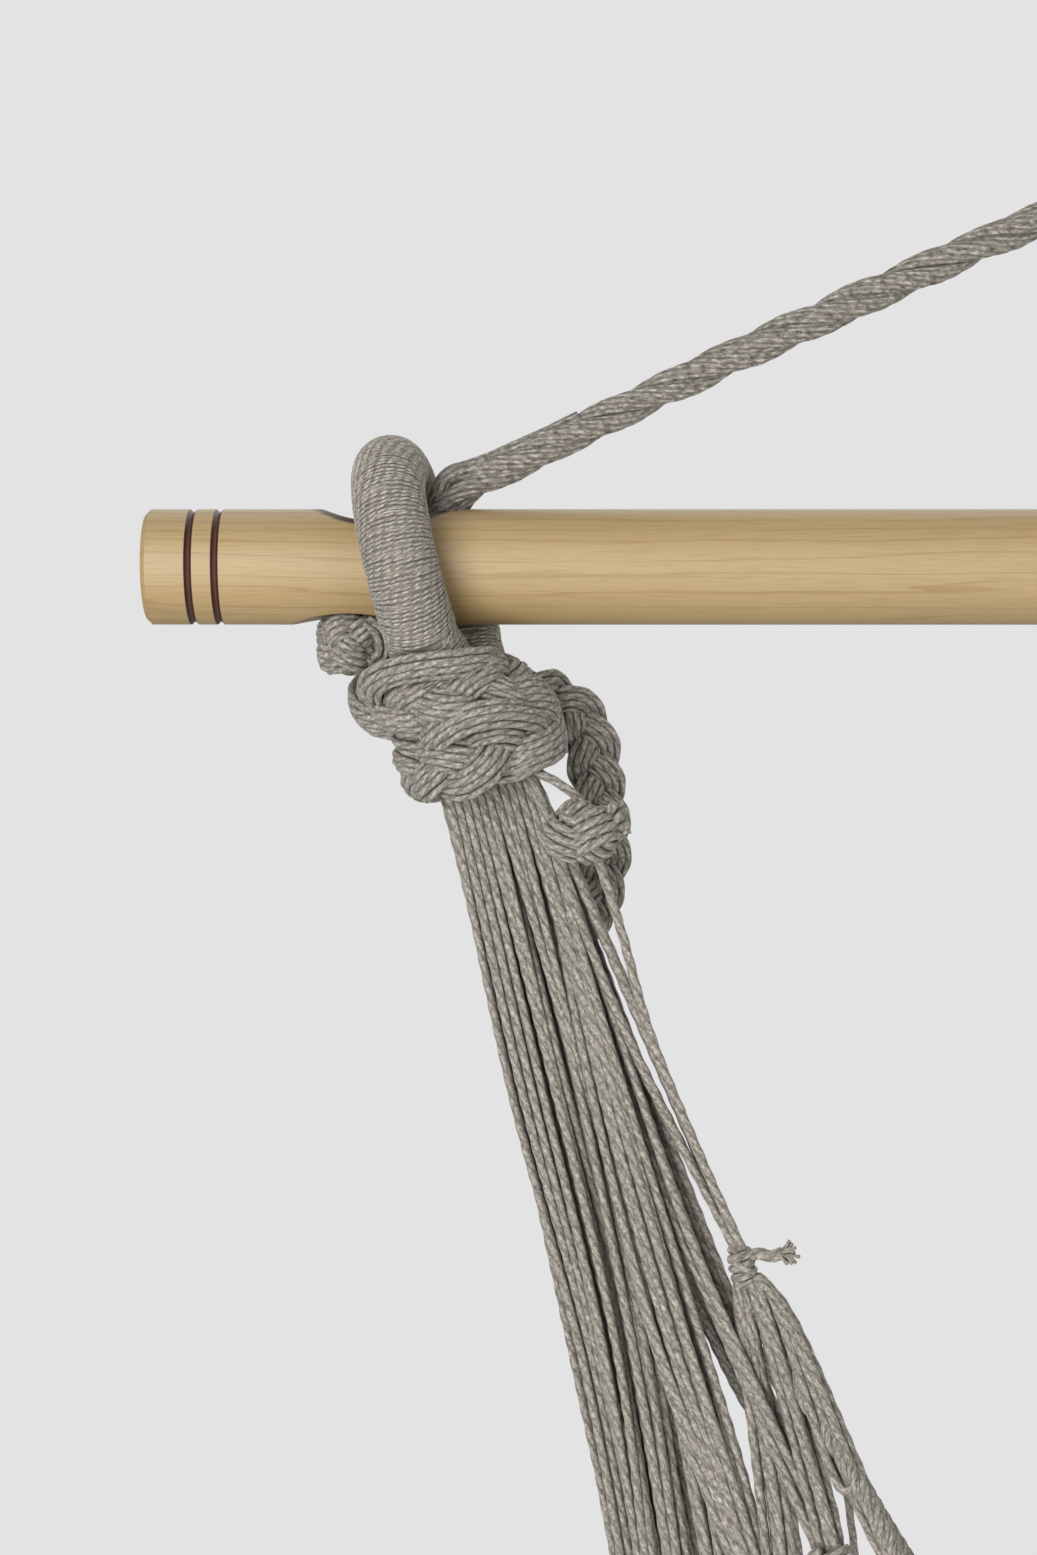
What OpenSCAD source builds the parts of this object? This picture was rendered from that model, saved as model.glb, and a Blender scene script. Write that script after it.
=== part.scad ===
// Hanging hammock chair: a wooden spreader bar on a rope bridle, with a knotted cord seat
// X runs along the bar, the sitter faces -Y, Z is up, and the origin is where the hook bears

/* [Spreader bar] */
// Length of the wooden bar
bar_len = 1100; // [1000:10:1300]
// Diameter of the wooden bar
bar_d = 38; // [36:1:42]
// Distance of the outer burnt groove from the bar's end
groove_inset = 15.5; // [10:0.5:18]
// Distance between the two burnt grooves
groove_pitch = 8.6; // [6:0.2:10]
// Width of a burnt groove
groove_w = 2.6; // [1.6:0.2:3.4]
// Depth of a burnt groove
groove_depth = 1.2; // [0.6:0.1:2]
// Chamfer round each end of the bar
bar_chamfer = 1.6; // [0.6:0.2:3]
// Distance of the carved top saddle from the bar's end
saddle_inset = 78; // [76:1:80]
// Length of the carved top saddle along the bar
saddle_len = 41; // [34:1:44]
// Depth of the carved top saddle
saddle_depth = 5.5; // [4:0.5:6]
// Length of the scoop under the bar that seats the stopper knot
scoop_len = 38; // [32:1:42]
// Depth of the scoop under the bar
scoop_depth = 3; // [2:0.5:4]

/* [Suspension rope] */
// Diameter of the suspension rope
rope_d = 14; // [12:0.5:15]
// Slope of the rope above the bar, in degrees
rope_slope = 24.7; // [20:0.1:30]
// Slope of the rope hole through the bar, in degrees
hole_slope = 50; // [48:0.5:52]
// Distance of the hole's lower mouth from the bar's end
hole_inset = 66.5; // [65:0.5:67]
// Height of the rope's lower bend above the bar's axis
bend_rise = 26; // [25.5:0.5:29]
// Radius of the rope's lower bend
bend_r = 22; // [18:1:23]
// Radius of the rope's upper bend, below the seizing
crown_bend_r = 40; // [30:1:60]
// Width of the stopper knot under the bar
stopper_w = 23; // [20:0.5:23.5]
// Height of the stopper knot
stopper_h = 19; // [16:0.5:20]

/* [Hanging loop] */
// Inner radius of the hanging loop, which the hook bears on
hook_r = 22; // [16:1:30]
// Outer diameter of the whipped hanging loop
loop_d = 20; // [16:1:22]
// Straight part of each leg of the hanging loop
loop_leg = 20; // [16:1:30]
// Outer radius of the seizing that binds the loop and the two ropes
seizing_r = 25; // [22:0.5:28]
// Height of the seizing
seizing_h = 44; // [38:1:56]

/* [Whipped eyes] */
// Distance of an eye's centre from the bar's end
eye_inset = 85.5; // [84:0.5:88]
// Outer diameter of the whipped eye
eye_d = 24; // [22:0.5:25]
// Thickness of the thread whipping
whip_t = 1.6; // [1:0.1:2.4]
// Lean of the eye towards the middle of the bar, in degrees
eye_lean = 11; // [8:0.5:14]
// Turn of the eye about the vertical, in degrees
eye_yaw = 6; // [0:0.5:8]
// How far each leg hugs the bar past its widest point, in degrees
eye_hug = 40; // [34:1:44]
// Straight part of each leg below the bar
eye_leg = 8; // [6:0.5:9]

/* [Plait knots] */
// Distance of the knot's top centre inwards from the eye's centre
throat_dx = 11; // [9:0.5:13]
// Depth of the knot's top centre below the bar's axis
throat_drop = 30.5; // [30.5:0.5:34]
// Lean of the knot's axis, in degrees from the vertical
throat_lean = 20; // [16:0.5:24]
// Radius of the cord core inside the knot
core_r = 16; // [15:0.5:17]
// Outer radius of the upper plait wrap
upper_r = 31; // [29:0.5:33]
// Height of the upper plait wrap
upper_h = 26; // [22:0.5:28]
// Outer radius of the lower plait wrap
lower_r = 28.5; // [27:0.5:31]
// Height of the lower plait wrap
lower_h = 23; // [20:0.5:26]

/* [Cords] */
// Diameter of one seat cord
cord_d = 3.4; // [3:0.1:3.6]
// Cords side by side in each half of an arm, two to a net loop
arm_columns = 8; // [8:2:8]
// Step between arm cords where they leave the knot
arm_pitch = 3.7; // [3.7:0.05:3.8]
// Distance between the two rows of an arm half where they leave the knot
arm_row = 4.6; // [4.2:0.1:5]
// Diameter of the selvedge cord along each edge of the bed
selvedge_d = 6; // [5:0.5:7]
// Diameter of the round knot on the front edge lead
edge_knot_d = 22; // [18:1:24]
// Diameter of the tie that gathers the edge cords
tie_d = 14; // [12:0.5:16]

/* [Bed net] */
// Cords that make the net, an even number
net_cords = 24; // [20:4:24]
// Rows of gaps along the bed
net_rows = 12; // [8:1:12]
// Half length between the ends of the bed at its middle cord
bed_half = 376; // [340:2:420]
// Drop from the bar's axis to the ends of the bed at its middle cord
bed_end_drop = 450; // [420:5:500]
// Sag of the bed at its middle cord
bed_sag = 600; // [500:5:680]
// How much nearer the middle the ends of each edge are
edge_in = 50; // [30:1:70]
// How much higher the ends of each edge are
edge_rise = 164; // [140:2:180]
// Sag of each edge of the bed
edge_sag = 286; // [240:2:320]
// Half width of the bed at its ends
bed_end_w = 70; // [60:1:90]
// Half width of the bed at its middle
bed_mid_w = 215; // [180:5:260]

/* [Fit] */
// Clearance between neighbouring soft pieces
gap = 0.3; // [0.2:0.05:0.4]
// Clearance between the bar and the eyes that swing on it
swing_gap = 0.9; // [0.7:0.1:1.2]
// Space between two cords of the net where they meet
knot_gap = 0.75; // [0.75:0.05:0.85]

/* [Hidden] */
WOOD = "#c8ad7a";
CORD = "#8f897d";
SHADE = "#7d776b";
$fn = 64;

bar_r = bar_d / 2;
rope_r = rope_d / 2;
eye_r = eye_d / 2;
arch_r = bar_r + eye_r + swing_gap;
half_bar = bar_len / 2;

// Places on the left half, measured from the middle of the bar's axis
eye_x = -half_bar + eye_inset;
hole_x = -half_bar + hole_inset;
saddle_x = -half_bar + saddle_inset;
bend_x = hole_x + (bend_rise + bar_r) / tan(hole_slope);
stopper_top = -bar_r + scoop_depth - gap;

// The rope's run from the lower bend to the crown, and the height of the crown
rope_side = rope_r + gap;
crown_turn = 90 - rope_slope;
crown_x = -rope_side - crown_bend_r * (1 - cos(crown_turn));
crown_rise = bend_rise + (crown_x - bend_x) * tan(rope_slope);
seizing_rise = crown_rise + crown_bend_r * sin(crown_turn);
loop_r = hook_r + loop_d / 2;
loop_hug = 40;
loop_foot = loop_r * sin(loop_hug) + loop_leg * cos(loop_hug);
seizing_top = -hook_r - loop_foot - loop_d / 2 * sin(loop_hug) - gap;
bar_z = seizing_top - seizing_h - gap - seizing_rise - rope_d;

// The knot's axis, from its top centre down
throat_top = [eye_x + throat_dx, 0, -throat_drop];
throat_dir = [sin(throat_lean), 0, -cos(throat_lean)];
throat_side = [cos(throat_lean), 0, sin(throat_lean)];
throat_len = upper_h + gap + lower_h;
throat_end = throat_top + throat_len * throat_dir;

// Lowest cord clearances in the net and the arms
cord_r = cord_d / 2;
link = cord_r + gap / 2;
net_link = (cord_d + knot_gap) / 2;
fan_link = 1.15 * link;
arm_start = 1;

// The front edge: its tie and its round knot, by offset from the end of the plait knot
tie_at = [80, -30, -148];
edge_knot_at = [31.5, -25, -11];
edge_lead_from = [14, -13, 10];
tie_tail = [10, -5, 5];

// The loose plait's tail, by offset from the top centre of the knot: place and radius
tail_route = [[30.6, 20.3, -1, 6], [40, 27, -6, 8.5], [48, 30, -14, 9.5], [54, 31, -24, 9.5], [58, 32, -36, 9.5],
    [61, 33, -48, 9.5], [62, 34, -60, 9], [60, 35, -72, 8], [57, 35, -83, 6], [55, 35, -93, 3]];

function unit(v) = v / norm(v);
function asinh(v) = ln(v + sqrt(v * v + 1));
function cosh(v) = (exp(v) + exp(-v)) / 2;
function sinh(v) = (exp(v) - exp(-v)) / 2;
function flip_y(p) = [p[0], -p[1], p[2]];

// A point of the bed: q runs along it and u across it, both from -1 to 1
function bed_point(q, u) =
    let (a = abs(u),
        lift = pow(a, 1.6),
        k = 2.2 - 0.73 * a,
        t = sign(q) * asinh(abs(q) * sinh(k)) / k,
        half = bed_half - edge_in * lift,
        sag = bed_sag - (bed_sag - edge_sag) * pow(a, 1.8),
        z_end = -bed_end_drop + edge_rise * lift)
    [half * t,
        u * (bed_end_w + (bed_mid_w - bed_end_w) * (1 - q * q)),
        z_end - sag * (1 - (cosh(k * t) - 1) / (cosh(k) - 1))];

// The rings of a tube along a path: each is square to it, and starts from one steady direction
function tube_rings(points, radius, sides, steady) =
    let (last = len(points) - 1)
    [for (i = [0:last])
        let (ahead = unit(points[min(i + 1, last)] - points[max(i - 1, 0)]),
            side = unit(cross(steady, ahead)),
            up = cross(ahead, side),
            r = is_list(radius) ? radius[i] : radius)
        for (j = [0:sides - 1])
            points[i] + r * (cos(360 * j / sides) * side + sin(360 * j / sides) * up)];

// The walls of a tube of rings, two triangles to each side
function tube_walls(rings, sides, first) =
    [for (i = [0:rings - 2]) for (j = [0:sides - 1])
        let (a = first + i * sides + j, b = first + i * sides + (j + 1) % sides)
        each [[a, b + sides, b], [a, a + sides, b + sides]]];

function turned(faces) = [for (f = faces) [f[0], f[2], f[1]]];

// A solid tube through points, with one radius or one for each point
module tube(points, radius, sides, steady = [0, 1, 0]) {
    end = (len(points) - 1) * sides;
    foot = [for (j = [1:sides - 2]) [0, j, j + 1]];
    head = [for (j = [1:sides - 2]) [end, end + j + 1, end + j]];
    polyhedron(points = tube_rings(points, radius, sides, steady),
        faces = concat(tube_walls(len(points), sides, 0), foot, head));
}

// A hollow tube through points
module sleeve(points, radius, bore, sides, steady) {
    end = (len(points) - 1) * sides;
    inner = len(points) * sides;
    rims = [for (j = [0:sides - 1]) let (k = (j + 1) % sides)
        each [[j, k, inner + k], [j, inner + k, inner + j],
            [end + j, inner + end + k, end + k], [end + j, inner + end + j, inner + end + k]]];
    polyhedron(points = concat(tube_rings(points, radius, sides, steady), tube_rings(points, bore, sides, steady)),
        faces = concat(tube_walls(len(points), sides, 0), turned(tube_walls(len(points), sides, inner)), rims));
}

// A straight cord between two points
module rod(from, to, d) {
    run = to - from;
    translate(from) rotate([0, acos(run[2] / norm(run)), atan2(run[1], run[0])])
        cylinder(d = d, h = norm(run));
}

// The path of a loop in the YZ plane: an arch, with legs that draw in below
function arch_path(radius, hug, leg) =
    let (y = radius * cos(hug) - leg * sin(hug), z = -radius * sin(hug) - leg * cos(hug), steps = 20)
    concat([[0, y, z]],
        [for (i = [0:steps]) let (a = -hug + (180 + 2 * hug) * i / steps) [0, radius * cos(a), radius * sin(a)]],
        [[0, -y, z]]);

// A round-edged barrel with its top at the origin and its axis down
module barrel(r, h, edge) {
    steps = 6;
    rotate_extrude() polygon(concat([[0, 0]],
        [for (i = [0:steps]) let (a = 90 - 90 * i / steps) [r - edge + edge * cos(a), -edge + edge * sin(a)]],
        [for (i = [0:steps]) let (a = -90 * i / steps) [r - edge + edge * cos(a), -h + edge + edge * sin(a)]],
        [[0, -h]]));
}

// Puts a piece of the left half, or its mirror image, at the bar's height
module at_side(side) {
    translate([0, 0, bar_z]) mirror([side == "right" ? 1 : 0, 0, 0]) children();
}

// Puts a piece on the axis of the left knot
module at_throat(along = 0) {
    translate(throat_top + along * throat_dir) rotate([0, -throat_lean, 0]) children();
}

// The left eye's place: its loop leans inwards and turns a little
module at_eye() {
    translate([eye_x, 0, 0]) rotate([0, -eye_lean, -eye_yaw]) children();
}

// The carved saddle and the scoop are cut across the bar by round cutters
module cross_cut(x, z_floor, length, depth, up) {
    r = (length * length / 4 + depth * depth) / (2 * depth);
    translate([x, 0, z_floor + up * r]) rotate([90, 0, 0])
        cylinder(r = r, h = 2 * bar_d, center = true, $fn = 128);
}

module rope_hole(d) {
    reach = 4 * bar_d;
    translate([hole_x, 0, -bar_r]) rotate([0, 90 - hole_slope, 0])
        translate([0, 0, -reach / 2]) cylinder(d = d, h = reach);
}

module spreader_bar() {
    color(WOOD) translate([0, 0, bar_z]) difference() {
        rotate([0, 90, 0]) union() {
            cylinder(d = bar_d, h = bar_len - 2 * bar_chamfer, center = true);
            for (s = [0, 1]) mirror([0, 0, s]) translate([0, 0, half_bar - bar_chamfer])
                cylinder(r1 = bar_r, r2 = bar_r - bar_chamfer, h = bar_chamfer);
        }
        for (s = [0, 1]) mirror([s, 0, 0]) {
            for (i = [0, 1]) translate([-half_bar + groove_inset + i * groove_pitch, 0, 0])
                rotate([0, 90, 0]) rotate_extrude()
                    polygon([[bar_r - groove_depth, 0], [bar_r + 1, -groove_w / 2 - 1],
                        [bar_r + 1, groove_w / 2 + 1]]);
            cross_cut(saddle_x, bar_r - saddle_depth, saddle_len, saddle_depth, 1);
            cross_cut(hole_x, -bar_r + scoop_depth, scoop_len, scoop_depth, -1);
            rope_hole(rope_d + 2 * gap);
        }
    }
}

// Points along a bend between two headings, in degrees above the level, that starts at a point
function bend_points(start, radius, heading, turn, steps) =
    [for (i = [0:steps])
        let (h = heading + turn * i / steps, s = sign(turn))
        start + s * radius * [sin(h) - sin(heading), 0, cos(heading) - cos(h)]];

// The rope from its stopper knot, up through the slanted hole and along to the crown
module suspension_rope(side) {
    turn = hole_slope - rope_slope;
    trim = bend_r * tan(turn / 2);
    foot_rise = -stopper_top - rope_r * cos(hole_slope) - gap;
    foot = [bend_x - (bend_rise + foot_rise) / tan(hole_slope), 0, -foot_rise];
    low = [bend_x - trim * cos(hole_slope), 0, bend_rise - trim * sin(hole_slope)];
    crown = [crown_x, 0, crown_rise];
    head = [-rope_side, 0, seizing_rise + rope_d];
    color(CORD) at_side(side)
        tube(concat([foot], bend_points(low, bend_r, hole_slope, -turn, 4),
            bend_points(crown, crown_bend_r, rope_slope, crown_turn, 6), [head]), rope_r, 12);
}

module stopper_knot(side) {
    color(CORD) at_side(side) translate([hole_x, 0, stopper_top]) barrel(stopper_w / 2, stopper_h, 6);
}

module at_loop() {
    translate([0, 0, -loop_r + loop_d / 2]) rotate([0, 0, 90]) children();
}

module hanging_loop_core() {
    color(SHADE) at_loop() tube(arch_path(loop_r, loop_hug, loop_leg), loop_d / 2 - whip_t - gap, 12, [1, 0, 0]);
}

module hanging_loop_whipping() {
    color(CORD) at_loop()
        sleeve(arch_path(loop_r, loop_hug, loop_leg), loop_d / 2, loop_d / 2 - whip_t, 12, [1, 0, 0]);
}

// The seizing stands on the two ropes and carries the loop's legs
module loop_seizing() {
    color(CORD) translate([0, 0, seizing_top]) barrel(seizing_r, seizing_h, 4);
}

module eye_core(side) {
    color(SHADE) at_side(side) at_eye()
        tube(arch_path(arch_r, eye_hug, eye_leg), eye_r - whip_t - gap, 12, [1, 0, 0]);
}

module eye_whipping(side) {
    color(CORD) at_side(side) at_eye()
        sleeve(arch_path(arch_r, eye_hug, eye_leg), eye_r, eye_r - whip_t, 12, [1, 0, 0]);
}

// The cords run together inside the knot, below the eye's two legs
module throat_core(side) {
    color(SHADE) at_side(side) at_throat() translate([0, 0, -throat_len])
        cylinder(r = core_r, h = throat_len);
}

module plait_wrap(side, along, r, h) {
    color(CORD) at_side(side) at_throat(along) difference() {
        barrel(r, h, h / 2 - 0.5);
        translate([0, 0, -h - 1]) cylinder(r = core_r + gap, h = h + 2);
    }
}

module upper_wrap(side) {
    plait_wrap(side, 0, upper_r, upper_h);
}

module lower_wrap(side) {
    plait_wrap(side, upper_h + gap, lower_r, lower_h);
}

module plait_tail(side) {
    color(SHADE) at_side(side)
        tube([for (p = tail_route) throat_top + [p[0], p[1], p[2]]], [for (p = tail_route) p[3]], 10);
}

// Where an arm cord leaves the left knot, by its place along and across the knot's end
function throat_point(along, across) =
    throat_end + arm_start * throat_dir + along * throat_side + [0, across, 0];

// Where an end loop of the net hangs: loops are counted from the middle of the bed to its edge
net_loops = net_cords / 4;
arm_loops = arm_columns / 2;
function loop_u(i) = (2 * i + 1) / (2 * net_loops);

// Places for four cords side by side above a loop, by steps along X and Y
function above_loop(i, a, b) =
    let (u = loop_u(i), here = bed_point(-1, u), along = unit(here - bed_point(-0.98, u)))
    here + cord_r * (1.3 + 0.18 * i) * along + [a, b, 0];

// One half of an arm: columns of cords from the knot to the loops of the net
module arm_half(side, front) {
    first = -arm_pitch * (arm_columns - 0.2) / 2;
    color(CORD) at_side(side) mirror([0, front ? 1 : 0, 0])
        for (c = [0:arm_columns - 1]) for (row = [0, 1])
            rod(throat_point(first + arm_pitch * c, arm_row * (row + 0.5)),
                above_loop(floor(c / 2), c % 2 == 0 ? -link : link, row == 0 ? -link : link), cord_d);
}

module front_place(front) {
    mirror([0, front ? 0 : 1, 0]) children();
}

tie_point = throat_end + tie_at;
edge_knot_point = throat_end + edge_knot_at;

// The tie's round knot with its short cut tail
module edge_tie(side, front) {
    color(CORD) at_side(side) front_place(front) {
        translate(tie_point) sphere(d = tie_d);
        rod(tie_point, tie_point + tie_tail + tie_d / 2 * unit(tie_tail), cord_d);
    }
}

// Two stay cords from the knot's end to a tie
module edge_stay(side, front) {
    stay_along = arm_pitch * (arm_columns + 0.6) / 2;
    color(CORD) at_side(side) front_place(front)
        for (row = [0, 1]) {
            from = throat_point(stay_along, -arm_row * (row + 0.5));
            to = tie_point + [0, (0.5 - row) * 2 * link, 0];
            rod(from, to + (tie_d / 2 + gap) * unit(from - to), cord_d);
        }
}

// A fan of cords from a tie to the edge loops of the net
module edge_fan(side, front) {
    color(CORD) at_side(side) front_place(front)
        for (i = [arm_loops:net_loops - 1]) for (a = [-1, 1]) for (b = [-1, 1]) {
            place = 4 * (i - arm_loops) + a - 2;
            from = tie_point + [place * fan_link, -b * fan_link, -tie_d / 2 - 1];
            rod(from, flip_y(above_loop(i, a * fan_link, b * fan_link)), cord_d);
        }
}

// The round knot on the front edge's lead, and the two runs of cord beside it
module edge_knot(side) {
    color(CORD) at_side(side) translate(edge_knot_point) sphere(d = edge_knot_d);
}

module edge_lead(side) {
    color(CORD) at_side(side) difference() {
        rod(throat_end + edge_lead_from, edge_knot_point, cord_d);
        translate(edge_knot_point) sphere(d = edge_knot_d + 2 * gap);
        at_throat(upper_h + gap) translate([0, 0, gap]) barrel(lower_r + gap, lower_h + 2 * gap, lower_h / 2);
    }
}

module edge_cord(side) {
    landing = tie_point + link * [1.2, -2.6, 0];
    run = unit(landing - edge_knot_point);
    color(CORD) at_side(side)
        rod(edge_knot_point + (edge_knot_d / 2 + gap) * run, landing - (tie_d / 2 + gap) * run, cord_d);
}

// One cord of the net: it zigzags to meet its neighbours at every other row
function net_cord(k) =
    let (step = 2 / net_cords, u = -1 + step * (k + 0.5), ends = 2 * net_rows)
    [for (r = [0:ends])
        let (q = -1 + 2 * r / ends,
            way = (r + k) % 2 == 0 ? 1 : -1,
            meet = bed_point(q, u + way * step / 2))
        meet - net_link * unit(meet - bed_point(q, u))];

module bed_net() {
    color(CORD) translate([0, 0, bar_z]) for (k = [0:net_cords - 1]) tube(net_cord(k), cord_r, 5);
}

// The edge cord from tie to tie, just outside the net
module selvedge(front) {
    off = selvedge_d / 2 + cord_r - net_link + 3 * gap;
    steps = 2 * net_rows;
    edge = [for (r = [0:steps])
        let (q = -1 + 2 * r / steps,
            here = bed_point(q, -1),
            out = unit(here - bed_point(q, -0.98)))
        here + off * out];
    top = tie_point + [3 * fan_link + cord_r + selvedge_d, 0, -tie_d / 2 - 1];
    color(CORD) translate([0, 0, bar_z]) front_place(front)
        tube(concat([top], edge, [[-top[0], top[1], top[2]]]), selvedge_d / 2, 8);
}

spreader_bar();
suspension_rope("left");  // suspension_rope_left
suspension_rope("right");  // suspension_rope_right
stopper_knot("left");  // stopper_knot_left
stopper_knot("right");  // stopper_knot_right
hanging_loop_core();
hanging_loop_whipping();
loop_seizing();
eye_core("left");  // eye_core_left
eye_core("right");  // eye_core_right
eye_whipping("left");  // eye_whipping_left
eye_whipping("right");  // eye_whipping_right
throat_core("left");  // throat_core_left
throat_core("right");  // throat_core_right
upper_wrap("left");  // upper_wrap_left
upper_wrap("right");  // upper_wrap_right
lower_wrap("left");  // lower_wrap_left
lower_wrap("right");  // lower_wrap_right
plait_tail("left");  // plait_tail_left
plait_tail("right");  // plait_tail_right
arm_half("left", true);  // arm_front_left
arm_half("right", true);  // arm_front_right
arm_half("left", false);  // arm_back_left
arm_half("right", false);  // arm_back_right
edge_knot("left");  // edge_knot_left
edge_knot("right");  // edge_knot_right
edge_lead("left");  // edge_lead_left
edge_lead("right");  // edge_lead_right
edge_cord("left");  // edge_cord_left
edge_cord("right");  // edge_cord_right
edge_tie("left", true);  // front_tie_left
edge_tie("right", true);  // front_tie_right
edge_tie("left", false);  // back_tie_left
edge_tie("right", false);  // back_tie_right
edge_fan("left", true);  // front_fan_left
edge_fan("right", true);  // front_fan_right
edge_fan("left", false);  // back_fan_left
edge_fan("right", false);  // back_fan_right
edge_stay("left", true);  // front_stay_left
edge_stay("right", true);  // front_stay_right
edge_stay("left", false);  // back_stay_left
edge_stay("right", false);  // back_stay_right
bed_net();
selvedge(true);  // front_selvedge
selvedge(false);  // back_selvedge
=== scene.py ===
"""Looks of a hanging hammock chair: a turned wooden bar, a rope bridle and a seat of cotton cords."""

import logging
import math
from dataclasses import dataclass, field
from enum import Enum
from typing import Any, Sequence

import bpy
import numpy as np
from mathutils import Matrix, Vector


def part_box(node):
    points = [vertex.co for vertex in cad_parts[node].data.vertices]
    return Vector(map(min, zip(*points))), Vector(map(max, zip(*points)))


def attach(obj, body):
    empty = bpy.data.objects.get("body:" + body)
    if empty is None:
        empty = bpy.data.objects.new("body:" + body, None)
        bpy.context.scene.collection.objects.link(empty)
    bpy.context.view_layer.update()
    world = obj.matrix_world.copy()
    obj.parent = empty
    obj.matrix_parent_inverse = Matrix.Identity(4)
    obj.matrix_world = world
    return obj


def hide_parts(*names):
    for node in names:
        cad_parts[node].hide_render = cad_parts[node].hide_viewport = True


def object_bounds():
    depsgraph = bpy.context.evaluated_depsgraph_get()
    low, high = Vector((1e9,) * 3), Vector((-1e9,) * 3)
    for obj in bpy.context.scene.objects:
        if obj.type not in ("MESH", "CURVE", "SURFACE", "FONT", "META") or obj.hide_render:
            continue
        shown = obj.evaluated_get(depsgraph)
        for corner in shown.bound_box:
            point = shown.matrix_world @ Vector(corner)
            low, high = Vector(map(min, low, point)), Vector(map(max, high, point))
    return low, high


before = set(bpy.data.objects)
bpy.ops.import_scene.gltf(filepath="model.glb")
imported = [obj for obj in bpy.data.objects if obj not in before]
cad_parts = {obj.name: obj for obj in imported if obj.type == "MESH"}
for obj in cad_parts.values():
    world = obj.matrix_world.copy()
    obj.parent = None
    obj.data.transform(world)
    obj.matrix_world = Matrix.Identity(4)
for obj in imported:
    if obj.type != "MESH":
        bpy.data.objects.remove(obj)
CAD_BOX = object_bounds()

LOG = logging.getLogger("hammock_chair")
Vec = np.ndarray
Point = tuple[float, float, float]
Socket = bpy.types.NodeSocket
MM = 0.001
TURN = 2 * math.pi
STRANDS = 3
LAY_MAP = "lay"

BAR_LOW, BAR_HIGH = (np.array(corner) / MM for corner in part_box("spreader_bar"))
BAR_Z = float(BAR_LOW[2] + BAR_HIGH[2]) / 2
BAR_R = float(BAR_HIGH[1] - BAR_LOW[1]) / 2
HALF_BAR = float(BAR_HIGH[0])
FRONT = np.array([0.0, -1.0, 0.0])
UP = np.array([0.0, 0.0, 1.0])


class Side(Enum):
    """The two halves of the chair, which mirror each other."""

    LEFT = "left"
    RIGHT = "right"


class Face(Enum):
    """The seat's two edges, by the way they lie along Y."""

    FRONT = -1
    BACK = 1


class Body(Enum):
    """The rigid bodies of the frame."""

    HANGER = "hanger"
    SEAT = "seat"
    TAIL_LEFT = "tail_left"
    TAIL_RIGHT = "tail_right"


def vec(*numbers: float) -> Vec:
    """A vector of floats."""
    return np.array(numbers, dtype=float)


def unit(vectors: Vec) -> Vec:
    """The vectors at length one."""
    return vectors / np.maximum(np.linalg.norm(vectors, axis=-1, keepdims=True), 1e-9)


def tangents(path: Vec) -> Vec:
    """The direction of a path at each of its points."""
    return unit(np.gradient(path, axis=0))


def run_lengths(path: Vec) -> Vec:
    """How far along a path each of its points lies."""
    steps = np.linalg.norm(np.diff(path, axis=0), axis=1)
    return np.concatenate([[0.0], np.cumsum(steps)])


def carry(places: Vec, along: Vec, values: Vec) -> Vec:
    """What the values at a path's points come to at other places along it."""
    return np.stack([np.interp(places, along, column) for column in values.T], axis=1)


def spokes(angle: Vec, first: Vec, second: Vec) -> Vec:
    """Directions at angles from a first direction towards a second one."""
    return np.cos(angle)[:, None] * first + np.sin(angle)[:, None] * second


def even_path(points: Vec, step: float) -> Vec:
    """A path from its first point to its last, resampled at about an even step.

    Args:
        points: The path's own points.
        step: The distance wanted.

    Returns:
        The new points.
    """
    along = run_lengths(points)
    count = max(3, int(round(along[-1] / step)) + 1)
    return carry(np.linspace(0, along[-1], count), along, points)


def smooth_path(points: Sequence[Sequence[float]], step: float) -> Vec:
    """A smooth curve through a few points, with its own points at an even distance.

    Args:
        points: The places that the curve passes through.
        step: The distance between the points of the result.

    Returns:
        The curve's points.
    """
    knots = np.array(points, dtype=float)
    padded = np.vstack([2 * knots[0] - knots[1], knots, 2 * knots[-1] - knots[-2]])
    share = np.linspace(0, 1, 17)[:-1, None]
    curve = []
    for a, b, c, d in zip(padded, padded[1:], padded[2:], padded[3:]):
        curve.append(0.5 * (2 * b + (c - a) * share + (2 * a - 5 * b + 4 * c - d) * share ** 2
                            + (3 * b - a - 3 * c + d) * share ** 3))
    return even_path(np.vstack(curve + [knots[-1:]]), step)


def steady_normals(path: Vec, steady: Vec) -> Vec:
    """Unit normals of a path that keep to one direction, which it never runs along."""
    ahead = tangents(path)
    return unit(steady - np.sum(ahead * steady, axis=1, keepdims=True) * ahead)


def row_frame(points: Vec, side: Side | None) -> Vec:
    """Points in the row frame, in metres.

    Args:
        points: Points of the left half in millimetres, from the middle of the bar's axis.
        side: The half that they are wanted for, or None for points of both halves.

    Returns:
        The points where they are wanted.
    """
    placed = (np.asarray(points, dtype=float) + BAR_Z * UP) * MM
    return placed * vec(-1, 1, 1) if side is Side.RIGHT else placed


@dataclass(frozen=True)
class Yarn:
    """How a cord is made, in millimetres: its thickness, its plies and their lay."""

    diameter: float
    plies: int = 3
    lay: float = 11.0
    depth: float = 0.16
    sides: int = 8
    step: float = 1.6


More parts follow.
